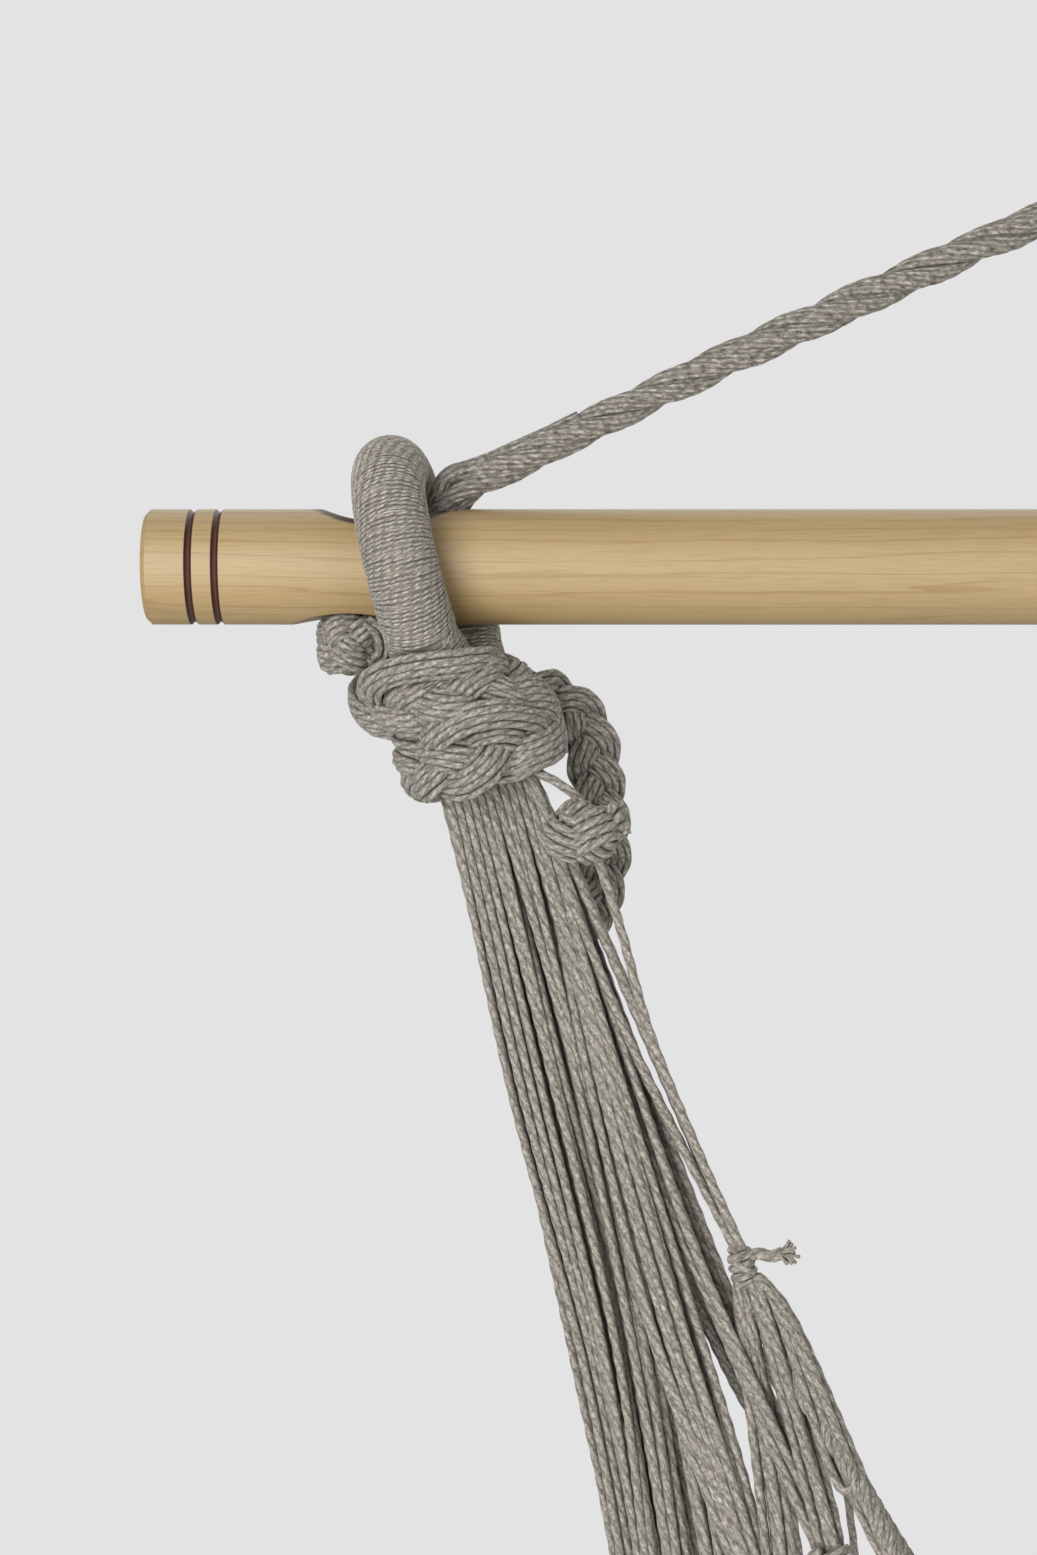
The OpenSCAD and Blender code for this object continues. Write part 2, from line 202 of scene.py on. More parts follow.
class CordMesh:
    """Collects swept cords into one mesh, with a map of their lay."""

    map_shift: float = 61.7  # between the maps of two cords, so that no two look alike

    def __init__(self) -> None:
        """Starts with no cords."""
        self.points: list[Vec] = []
        self.quads: list[Vec] = []
        self.lays: list[Vec] = []
        self.count = 0
        self.offset = 0.0

    def sweep(self, path: Vec, normals: Vec, yarn: Yarn, radii: Vec | float | None = None) -> None:
        """Sweeps one cord along a path.

        Args:
            path: The cord's middle line.
            normals: A direction across the path at each point.
            yarn: How the cord is made.
            radii: The cord's radius, where it isn't the yarn's own.
        """
        rings, sides = len(path), yarn.sides
        ahead = tangents(path)
        across = unit(np.cross(ahead, normals))
        out = np.cross(across, ahead)
        along = run_lengths(path)
        turn = np.arange(sides) / sides
        base = np.broadcast_to(yarn.diameter / 2 if radii is None else radii, (rings,))
        wave = np.cos(TURN * (yarn.plies * turn[None, :] + along[:, None] / yarn.lay))
        radius = base[:, None] * (1 - yarn.depth / 2 + yarn.depth / 2 * wave)
        rays = (np.cos(TURN * turn)[None, :, None] * out[:, None, :]
                + np.sin(TURN * turn)[None, :, None] * across[:, None, :])
        self.points.append((path[:, None, :] + radius[..., None] * rays).reshape(-1, 3))
        self.offset += self.map_shift
        self._walls(rings, sides, along + self.offset)
        self.count += rings * sides

    def _walls(self, rings: int, sides: int, along: Vec) -> None:
        """Adds the quads of a swept cord and its two ends, and maps their lay.

        Args:
            rings: How many rings of points it has.
            sides: How many points a ring has.
            along: Where each ring lies on the map.
        """
        ring, spoke = np.meshgrid(np.arange(rings - 1), np.arange(sides), indexing="ij")
        ring, spoke = ring.ravel(), spoke.ravel()
        after = (spoke + 1) % sides
        near, far = ring * sides, (ring + 1) * sides
        walls = np.stack([near + spoke, near + after, far + after, far + spoke], axis=1)
        turns = np.stack([spoke, spoke + 1, spoke + 1, spoke], axis=1) / sides
        runs = along[np.stack([ring, ring, ring + 1, ring + 1], axis=1)]
        half = np.arange(sides // 2 - 1)
        cap = np.stack([half, half + 1, sides - 2 - half, sides - 1 - half], axis=1)
        foot, head = cap[:, ::-1], cap + (rings - 1) * sides
        self.quads.append(np.vstack([walls, foot, head]) + self.count)
        ends = np.concatenate([np.full(foot.shape, along[0]), np.full(head.shape, along[-1])])
        self.lays.append(np.stack([np.concatenate([turns, foot / sides, cap / sides]),
                                   np.concatenate([runs, ends])], axis=-1))

    def core(self, path: Vec, yarn: Yarn, radii: Vec | float | None = None, steady: Vec = FRONT) -> None:
        """Sweeps one cord along a path that never runs along a steady direction."""
        self.sweep(path, steady_normals(path, steady), yarn, radii)

    def cord(self, points: Sequence[Sequence[float]], yarn: Yarn, steady: Vec = FRONT) -> Vec:
        """Sweeps a smooth cord through a few points.

        Args:
            points: The places that it passes through.
            yarn: How it is made.
            steady: A direction that it never runs along.

        Returns:
            Its middle line.
        """
        path = smooth_path(points, yarn.step)
        self.core(path, yarn, steady=steady)
        return path

    def whip(self, spine: Vec, steady: Vec, diameter: float, pitch: float = 1.2,
             stray: float = 0.2) -> None:
        """Fills a bundle and winds thread closely round it, by hand: no turn lies quite even.

        Args:
            spine: The bundle's middle line.
            steady: A direction that the spine never runs along.
            diameter: How thick the whipped bundle is.
            pitch: The step from turn to turn.
            stray: How far the thread strays from an even turn.
        """
        samples, strays = 40, 6  # in each turn
        radius = diameter / 2 - THREAD.diameter / 2
        self.core(even_path(spine, FILL.step), FILL, radius, steady)
        dense = even_path(spine, pitch / samples)
        ahead = tangents(dense)
        out = steady_normals(dense, steady)
        angle = TURN * np.linspace(0, run_lengths(spine)[-1] / pitch, len(dense))
        rays = spokes(angle, out, np.cross(ahead, out))
        places = np.arange(0, len(dense) + samples, samples // strays)
        chance = np.random.default_rng(len(dense)).normal(0, stray, (2, len(places)))
        slip, rise = (np.interp(np.arange(len(dense)), places, row)[:, None] for row in chance)
        self.sweep(dense + (radius + 0.5 * np.minimum(rise, 0)) * rays + slip * ahead, rays, THREAD)

    def lay_strands(self, spine: Vec, yarn: Yarn, reach: Vec | float, lay: float,
                    slack: float = 0.0) -> None:
        """Lays the strands of a rope round its middle line.

        Args:
            spine: The rope's middle line.
            yarn: How a strand is made.
            reach: From the spine to a strand's middle.
            lay: The length of one turn.
            slack: How far a strand strays from an even lay, as a share of a turn.
        """
        slack_run, slack_step = 31, 2.1
        out = steady_normals(spine, FRONT)
        side = np.cross(tangents(spine), out)
        along = run_lengths(spine)
        for strand in range(STRANDS):
            stray = slack * np.sin(along / slack_run + slack_step * strand)
            rays = spokes(TURN * (strand / STRANDS + along / lay + stray), out, side)
            self.sweep(spine + reach * rays, rays, yarn)

    def wind_ball(self, centre: Vec, radius: float, axis: Vec, count: int, share: float = 1.0,
                  start: float = 0.0) -> None:
        """Winds parallel cords round a ball.

        Args:
            centre: The ball's centre.
            radius: From the centre to the cords' middle.
            axis: The direction that the cords go round.
            count: How many cords lie side by side.
            share: The part of a full turn that each makes.
            start: Where each starts, as a share of a turn.
        """
        closeness = 0.92
        first = unit(np.cross(axis, UP + 0.1 * FRONT))
        second = np.cross(axis, first)
        for index in range(count):
            off = (index - (count - 1) / 2) * CORD.diameter * closeness
            reach = math.sqrt(max(radius ** 2 - off ** 2, 1.0))
            rays = spokes(TURN * np.linspace(start, start + share, 48), first, second)
            path = even_path(centre + off * axis + reach * rays, CORD.step)
            self.sweep(path, unit(path - centre - off * axis), CORD)

    def _object(self, name: str, side: Side | None) -> bpy.types.Object:
        """Makes the collected cords one object, in the row frame.

        Args:
            name: The object's name.
            side: The half that it is for, or None.

        Returns:
            The object.
        """
        places = row_frame(np.vstack(self.points), side)
        quads, lays = np.vstack(self.quads), np.vstack(self.lays)
        if side is Side.RIGHT:
            quads, lays = quads[:, ::-1], lays[:, ::-1]
        mesh = bpy.data.meshes.new(name)
        mesh.vertices.add(len(places))
        mesh.vertices.foreach_set("co", places.ravel())
        mesh.loops.add(quads.size)
        mesh.loops.foreach_set("vertex_index", np.ascontiguousarray(quads, dtype=np.int32).ravel())
        mesh.polygons.add(len(quads))
        mesh.polygons.foreach_set("loop_start", np.arange(0, quads.size, 4, dtype=np.int32))
        mesh.polygons.foreach_set("use_smooth", np.ones(len(quads), dtype=bool))
        layer = mesh.uv_layers.new(name=LAY_MAP)
        layer.data.foreach_set("uv", np.ascontiguousarray(lays, dtype=np.float32).ravel())
        mesh.update(calc_edges=True)
        mesh.validate()
        return link(name, mesh)

    def halves(self, name: str, finish: bpy.types.Material, body: Body, slot: str, *nodes: str) -> None:
        """Makes the same piece for both halves.

        Args:
            name: The piece's name, without its side.
            finish: Its material.
            body: The body that carries it.
            slot: The record's material slot.
            nodes: The nodes that it stands for, without their side.
        """
        for half in Side:
            self.piece(name, half, finish, body, slot, *nodes)

    def piece(self, name: str, side: Side | None, finish: bpy.types.Material, body: Body, slot: str,
              *nodes: str) -> bpy.types.Object:
        """Makes one piece, which rides on its body and stands for its nodes.

        Args:
            name: The piece's name, without its side.
            side: The half that it is for, or None for a piece of both halves.
            finish: Its material.
            body: The body that carries it.
            slot: The record's material slot; not used.
            nodes: The nodes that it stands for, without their side.

        Returns:
            The piece.
        """
        ending = f"_{side.value}" if side else ""
        piece = self._object(name + ending, side)
        piece.data.materials.append(finish)
        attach(piece, body.value)
        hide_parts(*(node + ending for node in nodes))
        LOG.info("%s: %d faces", piece.name, len(piece.data.polygons))
        return piece


def link(name: str, data: bpy.types.ID) -> bpy.types.Object:
    """Puts a new object with its data into the scene.

    Args:
        name: Its name.
        data: Its mesh, light or camera.

    Returns:
        The object.
    """
    thing = bpy.data.objects.new(name, data)
    bpy.context.scene.collection.objects.link(thing)
    return thing


def linear(code: str) -> tuple[float, float, float, float]:
    """The linear colour of an sRGB hex code."""
    channels = [int(code[i:i + 2], 16) / 255 for i in (1, 3, 5)]
    return tuple(c / 12.92 if c <= 0.04045 else ((c + 0.055) / 1.055) ** 2.4 for c in channels) + (1.0,)


def add_node(tree: bpy.types.NodeTree, kind: str, inputs: dict[Any, Any] | None = None,
             output: int | str = 0, **settings: Any) -> Socket | None:
    """Adds a node with its settings and links.

    Args:
        tree: The tree that it goes into.
        kind: The node's type.
        inputs: A value for each input, a colour's hex code or the socket that it is linked to.
        output: The output that is used.
        settings: The node's own settings.

    Returns:
        That output, or None where the node has none.
    """
    node = tree.nodes.new(f"ShaderNode{kind}")
    for name, value in settings.items():
        setattr(node, name, value)
    for key, value in (inputs or {}).items():
        if isinstance(value, Socket):
            tree.links.new(value, node.inputs[key])
        else:
            node.inputs[key].default_value = linear(value) if isinstance(value, str) else value
    return node.outputs[output] if len(node.outputs) else None


def empty_tree(owner: bpy.types.Material | bpy.types.World) -> bpy.types.NodeTree:
    """The node tree of a material or a world, emptied.

    Args:
        owner: The material or the world.

    Returns:
        Its tree.
    """
    owner.use_nodes = True
    owner.node_tree.nodes.clear()
    return owner.node_tree


def set_ramp(ramp: bpy.types.Node, stops: Sequence[tuple[float, str]]) -> None:
    """Sets a colour ramp's stops.

    Args:
        ramp: The colour ramp.
        stops: Each stop's place and colour.
    """
    elements = ramp.color_ramp.elements
    while len(elements) < len(stops):
        elements.new(0.5)
    for element, (place, code) in zip(elements, stops):
        element.position = place
        element.color = linear(code)


@dataclass(frozen=True)
class Finish:
    """What the finishes share: a name and the way their material is built."""

    name: str

    def shader(self, tree: bpy.types.NodeTree) -> Socket:
        """Each finish builds its own nodes."""
        raise NotImplementedError

    def material(self) -> bpy.types.Material:
        """Builds the material.

        Returns:
            The material.
        """
        material = bpy.data.materials.new(self.name)
        tree = empty_tree(material)
        add_node(tree, "OutputMaterial", {0: self.shader(tree)})
        return material


@dataclass(frozen=True)
class HeatherCotton(Finish):
    """Spun cotton of mixed grey and undyed fibre, plied into cord.

    It is matt and a little fuzzy: light and dark flecks lie along the plies. Painted shade darkens the
    grooves between the plies, and more painted shade darkens a cord where other cords lie close by.
    """

    yarn: Yarn
    dark: str = "#605a51"
    middle: str = "#9a948a"
    light: str = "#c9c3ba"
    stops: Point = (0.30, 0.50, 0.70)
    # groove: painted shade, the dark colour mixed into the grooves between the plies
    groove: str = "#524d45"
    groove_shade_limits: tuple[float, ...] = (-1.0, 0.1, 0.55, 0.0)
    # shade, shade_reach, shade_from, shade_most: painted shade, a dark colour mixed in where an occlusion
    # test finds other cords close by
    shade: str = "#2b2721"
    shade_reach: float = 4.0
    shade_from: tuple[float, float] = (0.15, 0.75)
    shade_most: float = 0.75
    fleck_length: float = 1.7
    flecks_per_ply: float = 3.2
    crest_share: float = 0.35
    fuzz_depth: float = 0.08
    roughness: float = 0.92
    sheen: float = 0.25

    def shader(self, tree: bpy.types.NodeTree) -> Socket:
        """Builds the flecked and plied surface.

        Args:
            tree: The material's nodes.

        Returns:
            The shader.
        """
        split = add_node(tree, "SeparateXYZ", {0: add_node(tree, "UVMap", uv_map=LAY_MAP)}).node
        turn, run = split.outputs["X"], split.outputs["Y"]
        wound = add_node(tree, "Math", {0: run, 1: 1 / self.yarn.lay}, operation="MULTIPLY")
        ply = add_node(tree, "Math", {0: turn, 1: float(self.yarn.plies), 2: wound}, operation="MULTIPLY_ADD")
        across = add_node(tree, "Math", {0: ply, 1: self.flecks_per_ply}, operation="MULTIPLY")
        along = add_node(tree, "Math", {0: run, 1: 1 / self.fleck_length}, operation="MULTIPLY")
        place = add_node(tree, "CombineXYZ", {0: across, 1: along})
        flecks = add_node(tree, "TexNoise", {"Vector": place, "Scale": 1.0, "Detail": 3.0, "Roughness": 0.65})
        tone = add_node(tree, "ValToRGB", {0: flecks})
        set_ramp(tone.node, list(zip(self.stops, (self.dark, self.middle, self.light))))
        angle = add_node(tree, "Math", {0: ply, 1: TURN}, operation="MULTIPLY")
        crest = add_node(tree, "Math", {0: angle}, operation="COSINE")
        # Painted shade: the colour darkens towards the groove colour in the grooves between the plies.
        depth = add_node(tree, "MapRange", dict(enumerate((crest, *self.groove_shade_limits))))
        plied = add_node(tree, "Mix", {0: depth, 6: tone, 7: self.groove}, 2, data_type="RGBA")
        # Painted shade: an occlusion test darkens the colour where cords lie close together, standing in for
        # the shade between them.
        cord_occlusion = add_node(tree, "AmbientOcclusion", {"Distance": self.shade_reach * MM}, "AO", samples=6)
        painted_shade_share = add_node(tree, "MapRange", dict(enumerate((cord_occlusion, *self.shade_from, self.shade_most, 0.0))))
        colour = add_node(tree, "Mix", {0: painted_shade_share, 6: plied, 7: self.shade}, 2, data_type="RGBA")
        rise = add_node(tree, "Math", {0: crest, 1: self.crest_share, 2: flecks}, operation="MULTIPLY_ADD")
        bump = add_node(tree, "Bump", {"Height": rise, "Strength": 0.5,
                                       "Distance": self.yarn.diameter * self.fuzz_depth * MM})
        return add_node(tree, "BsdfPrincipled", {
            "Base Color": colour, "Normal": bump, "Roughness": self.roughness, "Specular IOR Level": 0.15,
            "Sheen Weight": self.sheen, "Sheen Roughness": 0.5})


@dataclass(frozen=True)
class TurnedMaple(Finish):
    """Maple, turned to a dowel and given a satin oil finish.

    Fine grain runs along the bar, with wider warm bands of growth rings; the two grooves are burnt
    dark red-brown and the carved saddle is left rough.
    """

    name: str = "turned_maple_satin_oiled"
    pale: str = "#b8a27a"
    warm: str = "#aa8c58"
    grain: str = "#8d6e43"
    char: str = "#2b1712"
    scorch: str = "#6d3f31"
    carved: str = "#54402b"
    pith_off: tuple[float, float] = (21.0, 34.0)
    grain_stretch: float = 0.045
    sway: float = 12.0
    ring_width: float = 4.2
    ring_limits: tuple[float, ...] = (0.8, 1.0, 0.0, 0.5)
    pore_width: float = 0.42
    pore_length: float = 15.0
    pore_limits: tuple[float, ...] = (0.5, 0.78, 0.0, 0.6)
    skin: float = 0.35
    skin_slack: float = 0.02
    saddle_inset: float = 78.0
    saddle_len: float = 41.0
    saddle_depth: float = 5.5
    saddle_rim: float = 2.6
    carved_from: tuple[float, float] = (30.0, 34.0)
    carved_rise: float = 4.0
    carved_below: float = 0.25
    groove_inset: float = 15.5
    groove_pitch: float = 8.6
    groove_reach: float = 1.35
    groove_edge: float = 0.85
    char_limits: tuple[float, float] = (0.1, 0.7)
    roughness: float = 0.48

    def shader(self, tree: bpy.types.NodeTree) -> Socket:
        """Builds the grain, with what was cut into it.

        Args:
            tree: The material's nodes.

        Returns:
            The shader.
        """
        place = add_node(tree, "TexCoord", output="Object")
        back, over = self.pith_off
        bent = add_node(tree, "Mapping", {"Vector": place, "Location": (0.0, back * MM, (over - BAR_Z) * MM),
                                          "Scale": (self.grain_stretch, 1.0, 1.0)})
        sway = add_node(tree, "TexNoise", {"Vector": bent, "Scale": 95.0, "Detail": 3.0}, "Color")
        shift = add_node(tree, "VectorMath", {0: sway, 1: (self.sway * MM,) * 3, 2: bent},
                         operation="MULTIPLY_ADD")
        rings = add_node(tree, "TexWave", {"Vector": shift, "Scale": 0.31 / (self.ring_width * MM),
                                           "Distortion": 3.5, "Detail": 3.0, "Detail Scale": 2.0}, "Fac",
                         wave_type="RINGS", rings_direction="X", wave_profile="SAW")
        fine = add_node(tree, "Mapping", {"Vector": place, "Scale": [
            1 / (size * MM) for size in (self.pore_length, self.pore_width, self.pore_width)]})
        pores = add_node(tree, "TexNoise", {"Vector": fine, "Scale": 1.0, "Detail": 4.0, "Roughness": 0.6})
        cloud = add_node(tree, "TexNoise", {"Vector": bent, "Scale": 28.0, "Detail": 2.0})
        colour = add_node(tree, "Mix", {0: cloud, 6: self.warm, 7: self.pale}, 2, data_type="RGBA")
        for mark, limits in ((rings, self.ring_limits), (pores, self.pore_limits)):
            streak = add_node(tree, "MapRange", dict(enumerate((mark, *limits))))
            colour = add_node(tree, "Mix", {0: streak, 6: colour, 7: self.grain}, 2, data_type="RGBA")
        bump = add_node(tree, "Bump", {"Height": pores, "Strength": 0.12, "Distance": 0.1 * MM})
        return add_node(tree, "BsdfPrincipled", {
            "Base Color": self._worked(tree, place, colour, pores), "Normal": bump,
            "Roughness": self.roughness, "IOR": 1.5, "Specular IOR Level": 0.75})

    def _worked(self, tree: bpy.types.NodeTree, place: Socket, wood: Socket, pores: Socket) -> Socket:
        """Darkens what was cut below the turned skin: the burnt grooves and the carved saddle.

        Args:
            tree: The material's nodes.
            place: The place on the bar.
            wood: The colour of the turned skin.
            pores: The fine grain.

        Returns:
            The colour with both.
        """
        along, back, height = add_node(tree, "SeparateXYZ", {0: place}).node.outputs
        rise = add_node(tree, "Math", {0: height, 1: BAR_Z * MM}, operation="SUBTRACT")
        flat = add_node(tree, "CombineXYZ", {1: back, 2: rise})
        radius = add_node(tree, "VectorMath", {0: flat}, "Value", operation="LENGTH")
        cut = add_node(tree, "MapRange", {0: radius, 1: (BAR_R - self.skin) * MM,
                                          2: (BAR_R - self.skin_slack) * MM, 3: 1.0, 4: 0.0})
        reach = add_node(tree, "Math", {0: along}, operation="ABSOLUTE")
        inset = add_node(tree, "Math", {0: HALF_BAR * MM, 1: reach}, operation="SUBTRACT")
        near = []
        for shift in (0, self.groove_pitch):
            middle = (self.groove_inset + shift) * MM
            off = add_node(tree, "Math", {0: inset, 1: middle}, operation="SUBTRACT")
            near.append(add_node(tree, "Math", {0: off}, operation="ABSOLUTE"))
        least = add_node(tree, "Math", {0: near[0], 1: near[1]}, operation="MINIMUM")
        edge = self.groove_reach * MM
        groove = add_node(tree, "MapRange", {0: least, 1: edge * self.groove_edge, 2: edge, 3: 1.0, 4: 0.0})
        low, high = self.char_limits
        depth = add_node(tree, "MapRange", {0: least, 1: low * MM, 2: high * MM, 3: 1.0, 4: 0.0})
        burnt = add_node(tree, "Mix", {0: depth, 6: self.char, 7: self.scorch}, 2, data_type="RGBA")
        low, high = self.carved_from
        inner = add_node(tree, "MapRange", {0: inset, 1: low * MM, 2: high * MM, 3: 0.0, 4: 1.0})
        upper = add_node(tree, "MapRange", {0: rise, 1: -self.carved_rise * MM, 2: self.carved_rise * MM,
                                            3: self.carved_below, 4: 1.0})
        below = add_node(tree, "Math", {0: cut, 1: inner}, operation="MULTIPLY")
        inside = add_node(tree, "Math", {0: below, 1: upper}, operation="MULTIPLY")
        rim = self._saddle_rim(tree, inset, rise, pores)
        rough = add_node(tree, "Math", {0: inside, 1: rim}, operation="MAXIMUM")
        speckle = add_node(tree, "Mix", {0: pores, 6: self.carved, 7: self.char}, 2, data_type="RGBA")
        carved = add_node(tree, "Mix", {0: rough, 6: wood, 7: speckle}, 2, data_type="RGBA")
        return add_node(tree, "Mix", {0: groove, 6: carved, 7: burnt}, 2, data_type="RGBA")

    def _saddle_rim(self, tree: bpy.types.NodeTree, inset: Socket, rise: Socket, pores: Socket) -> Socket:
        """Finds the torn rim that the gouge left along the carved saddle.

        Args:
            tree: The material's nodes.
            inset: The distance from the bar's end.
            rise: The height above the bar's axis.
            pores: The fine grain, which the rim follows.

        Returns:
            1 on the rim and 0 away from it.
        """
        half = self.saddle_len / 2
        gouge = (half ** 2 + self.saddle_depth ** 2) / (2 * self.saddle_depth)
        off = add_node(tree, "Math", {0: inset, 1: self.saddle_inset * MM}, operation="SUBTRACT")
        above = (BAR_R - self.saddle_depth + gouge) * MM
        down = add_node(tree, "Math", {0: above, 1: rise}, operation="SUBTRACT")
        flat = add_node(tree, "CombineXYZ", {0: off, 1: down})
        reach = add_node(tree, "VectorMath", {0: flat}, "Value", operation="LENGTH")
        torn = add_node(tree, "Math", {0: pores, 1: -self.saddle_rim * MM, 2: reach},
                        operation="MULTIPLY_ADD")
        return add_node(tree, "MapRange", {0: torn, 1: gouge * MM, 2: (gouge + 0.3 * self.saddle_rim) * MM,
                                           3: 1.0, 4: 0.0})


@dataclass(frozen=True)
class PalePaper(Finish):
    """Seamless studio paper: matt, pale grey, with no pattern but a faint tooth."""

    name: str = "pale_studio_paper"
    colour: str = "#e6e6e5"
    tooth: float = 2.0
    fade: tuple[float, float] = (0.5, 1.7)

    def shader(self, tree: bpy.types.NodeTree) -> Socket:
        """Builds the paper, which thins out towards its rim.

        Args:
            tree: The material's nodes.

        Returns:
            The shader.
        """
        place = add_node(tree, "TexCoord", output="Object")
        grit = add_node(tree, "TexNoise", {"Vector": place, "Scale": 1 / (self.tooth * MM)})
        bump = add_node(tree, "Bump", {"Height": grit, "Strength": 0.05, "Distance": 0.2 * MM})
        paper = add_node(tree, "BsdfDiffuse", {"Color": self.colour, "Normal": bump})
        reach = add_node(tree, "VectorMath", {0: place}, "Value", operation="LENGTH")
        thin = add_node(tree, "MapRange", dict(enumerate((reach, *self.fade, 0.0, 1.0))),
                        interpolation_type="SMOOTHSTEP")
        return add_node(tree, "MixShader", {0: thin, 1: paper, 2: add_node(tree, "BsdfTransparent")})


CORD = Yarn(diameter=3.3, lay=8.0)
NET_CORD = Yarn(diameter=3.2, sides=6, step=2.6, depth=0.14)
PLAIT_CORD = Yarn(diameter=2.9, lay=7.5, step=1.4, depth=0.14)
STRAND = Yarn(diameter=6.7, plies=9, lay=-64.0, depth=0.15, sides=36, step=1.5)
EDGE_STRAND = Yarn(diameter=3.3, plies=4, lay=-16.0, depth=0.14, sides=12, step=2.2)
THREAD = Yarn(diameter=1.35, plies=2, lay=3.4, depth=0.14, sides=6)
FILL = Yarn(diameter=20.0, plies=1, lay=50.0, depth=0.0, sides=16, step=3.0)
CORE = Yarn(diameter=38.0, plies=18, lay=30.0, depth=0.1, sides=72, step=3.0)
TAIL_CORD = Yarn(diameter=4.4, lay=9.0, depth=0.2)
FRAY = Yarn(diameter=1.3, plies=2, lay=4.0, sides=6, step=0.8)


class Finishes:
    """The materials that the pieces share."""

    def __init__(self) -> None:
        """Builds each material once."""
        self.wood = TurnedMaple().material()
        # shade_reach and shade_most set how far and how strongly painted shade darkens cords that lie close
        # together.
        self.cord = HeatherCotton("plied_heather_cotton_cord", CORD, shade_reach=6.0,
                                  shade_most=0.9).material()
        self.rope = HeatherCotton("laid_heather_cotton_rope", STRAND, dark="#484239", middle="#8f8980",
                                  light="#c8c2b8", fleck_length=2.6, flecks_per_ply=1.8).material()
        self.plait = HeatherCotton("plaited_heather_cotton_cord", PLAIT_CORD, flecks_per_ply=2.2,
                                   shade_most=0.85).material()
        self.thread = HeatherCotton("wound_heather_cotton_thread", THREAD, dark="#696359", middle="#a49d92",
                                    light="#d2ccc2", fleck_length=1.5, flecks_per_ply=1.6).material()
        self.selvedge = HeatherCotton("laid_heather_cotton_edge_cord", EDGE_STRAND).material()


def bend(start: Vec, radius: float, heading: float, turn: float, steps: int) -> list[Vec]:
    """Points along a bend in the bar's upright plane.

    Args:
        start: Where it starts.
        radius: Its radius.
        heading: The heading at its start, in degrees above the level.
        turn: How far it turns.
        steps: How many parts it has.

    Returns:
        The points.
    """
    way = math.copysign(radius, turn)
    first = math.radians(heading)
    angles = [math.radians(heading + turn * i / steps) for i in range(steps + 1)]
    return [start + way * vec(math.sin(a) - math.sin(first), 0, math.cos(first) - math.cos(a))
            for a in angles]


def arch(radius: float, hug: float, leg: float) -> Vec:
    """The middle line of a loop in the YZ plane, from its back leg to its front one.

    Args:
        radius: The arch's radius.
        hug: How far the arch goes on below its centre on each side, in degrees.
        leg: The straight part below it on each side.

    Returns:
        The line, with a point at each millimetre.
    """
    angles = np.radians(np.linspace(-hug, 180 + hug, 120))
    curve = np.stack([0 * angles, radius * np.cos(angles), radius * np.sin(angles)], axis=1)
    foot = curve[0] + leg * unit(curve[0] - curve[1])
    return even_path(np.vstack([foot, curve, foot * vec(1, -1, 1)]), 1.0)


def strand_section(cords: int, pitch: float = 2.35,
                   crown: float = 1.5) -> tuple[tuple[float, ...], tuple[float, ...]]:
    """The cross-section of a strand: a crowned layer of cords and one more below it.

    Args:
        cords: How many cords lie side by side on top.
        pitch: The step from cord to cord.
        crown: How far the outer cords lie below the middle ones.

    Returns:
        How far across and above the strand's middle each cord lies.
    """
    top = [pitch * (i - (cords - 1) / 2) for i in range(cords)]
    low = [pitch * (i - (cords - 2) / 2) for i in range(cords - 1)]
    rise = [crown * (0.6 - (x / top[-1]) ** 2) for x in top]
    return tuple(top + low), tuple(rise + [-pitch] * len(low))


@dataclass(frozen=True)
class Plait:
    """A flat three strand plait of several cords a strand, in millimetres."""

    swing: float
    lift: float
    across: tuple[float, ...]
    above: tuple[float, ...]
    yarn: Yarn = PLAIT_CORD

    @property
    def rise(self) -> float:
        """From the plait's middle to its surface."""
        return self.lift + max(self.above) + self.yarn.diameter / 2

    def lay(self, mesh: CordMesh, spine: Vec, normals: Vec, phase: Vec, width: Vec | float = 1.0) -> None:
        """Lays one strand, which swings from edge to edge over and under its neighbours.

        Args:
            mesh: Where its cords go.
            spine: The plait's middle line.
            normals: The way the plait faces at each point.
            phase: How far the strand is through its swing at each point.
            width: How wide the plait lies at each point, as a share of its own width.
        """
        side = unit(np.cross(normals, tangents(spine))) * width
        middle = (spine + self.swing * np.sin(phase)[:, None] * side
                  + self.lift * np.sin(2 * phase)[:, None] * normals)
        ahead = tangents(middle)
        flank = unit(np.cross(normals, ahead))
        top = np.cross(ahead, flank)
        flank = flank * width
        for across, above in zip(self.across, self.above):
            path = middle + across * flank + above * top
            even = even_path(path, self.yarn.step)
            mesh.sweep(even, unit(carry(run_lengths(even), run_lengths(path), top)), self.yarn)


def lay_flat(mesh: CordMesh, spine: Vec, normals: Vec, cords: int, pitch: float = 2.35) -> None:
    """Lays one flat strand that doesn't swing.

    Args:
        mesh: Where its cords go.
        spine: Its middle line.
        normals: The way it faces at each point.
        cords: How many cords lie side by side on top.
        pitch: The step from cord to cord.
    """
    Plait(0.0, 0.0, *strand_section(cords, pitch)).lay(mesh, spine, normals, 0 * spine[:, 0])


@dataclass
class SpreaderBar:
    """The wooden bar, which keeps its own solid."""

    finishes: Finishes

    def dress(self) -> None:
        """Gives the bar its finish."""
        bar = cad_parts["spreader_bar"]
        bar.data.materials.clear()
        bar.data.materials.append(self.finishes.wood)
        LOG.info("spreader_bar: dressed")


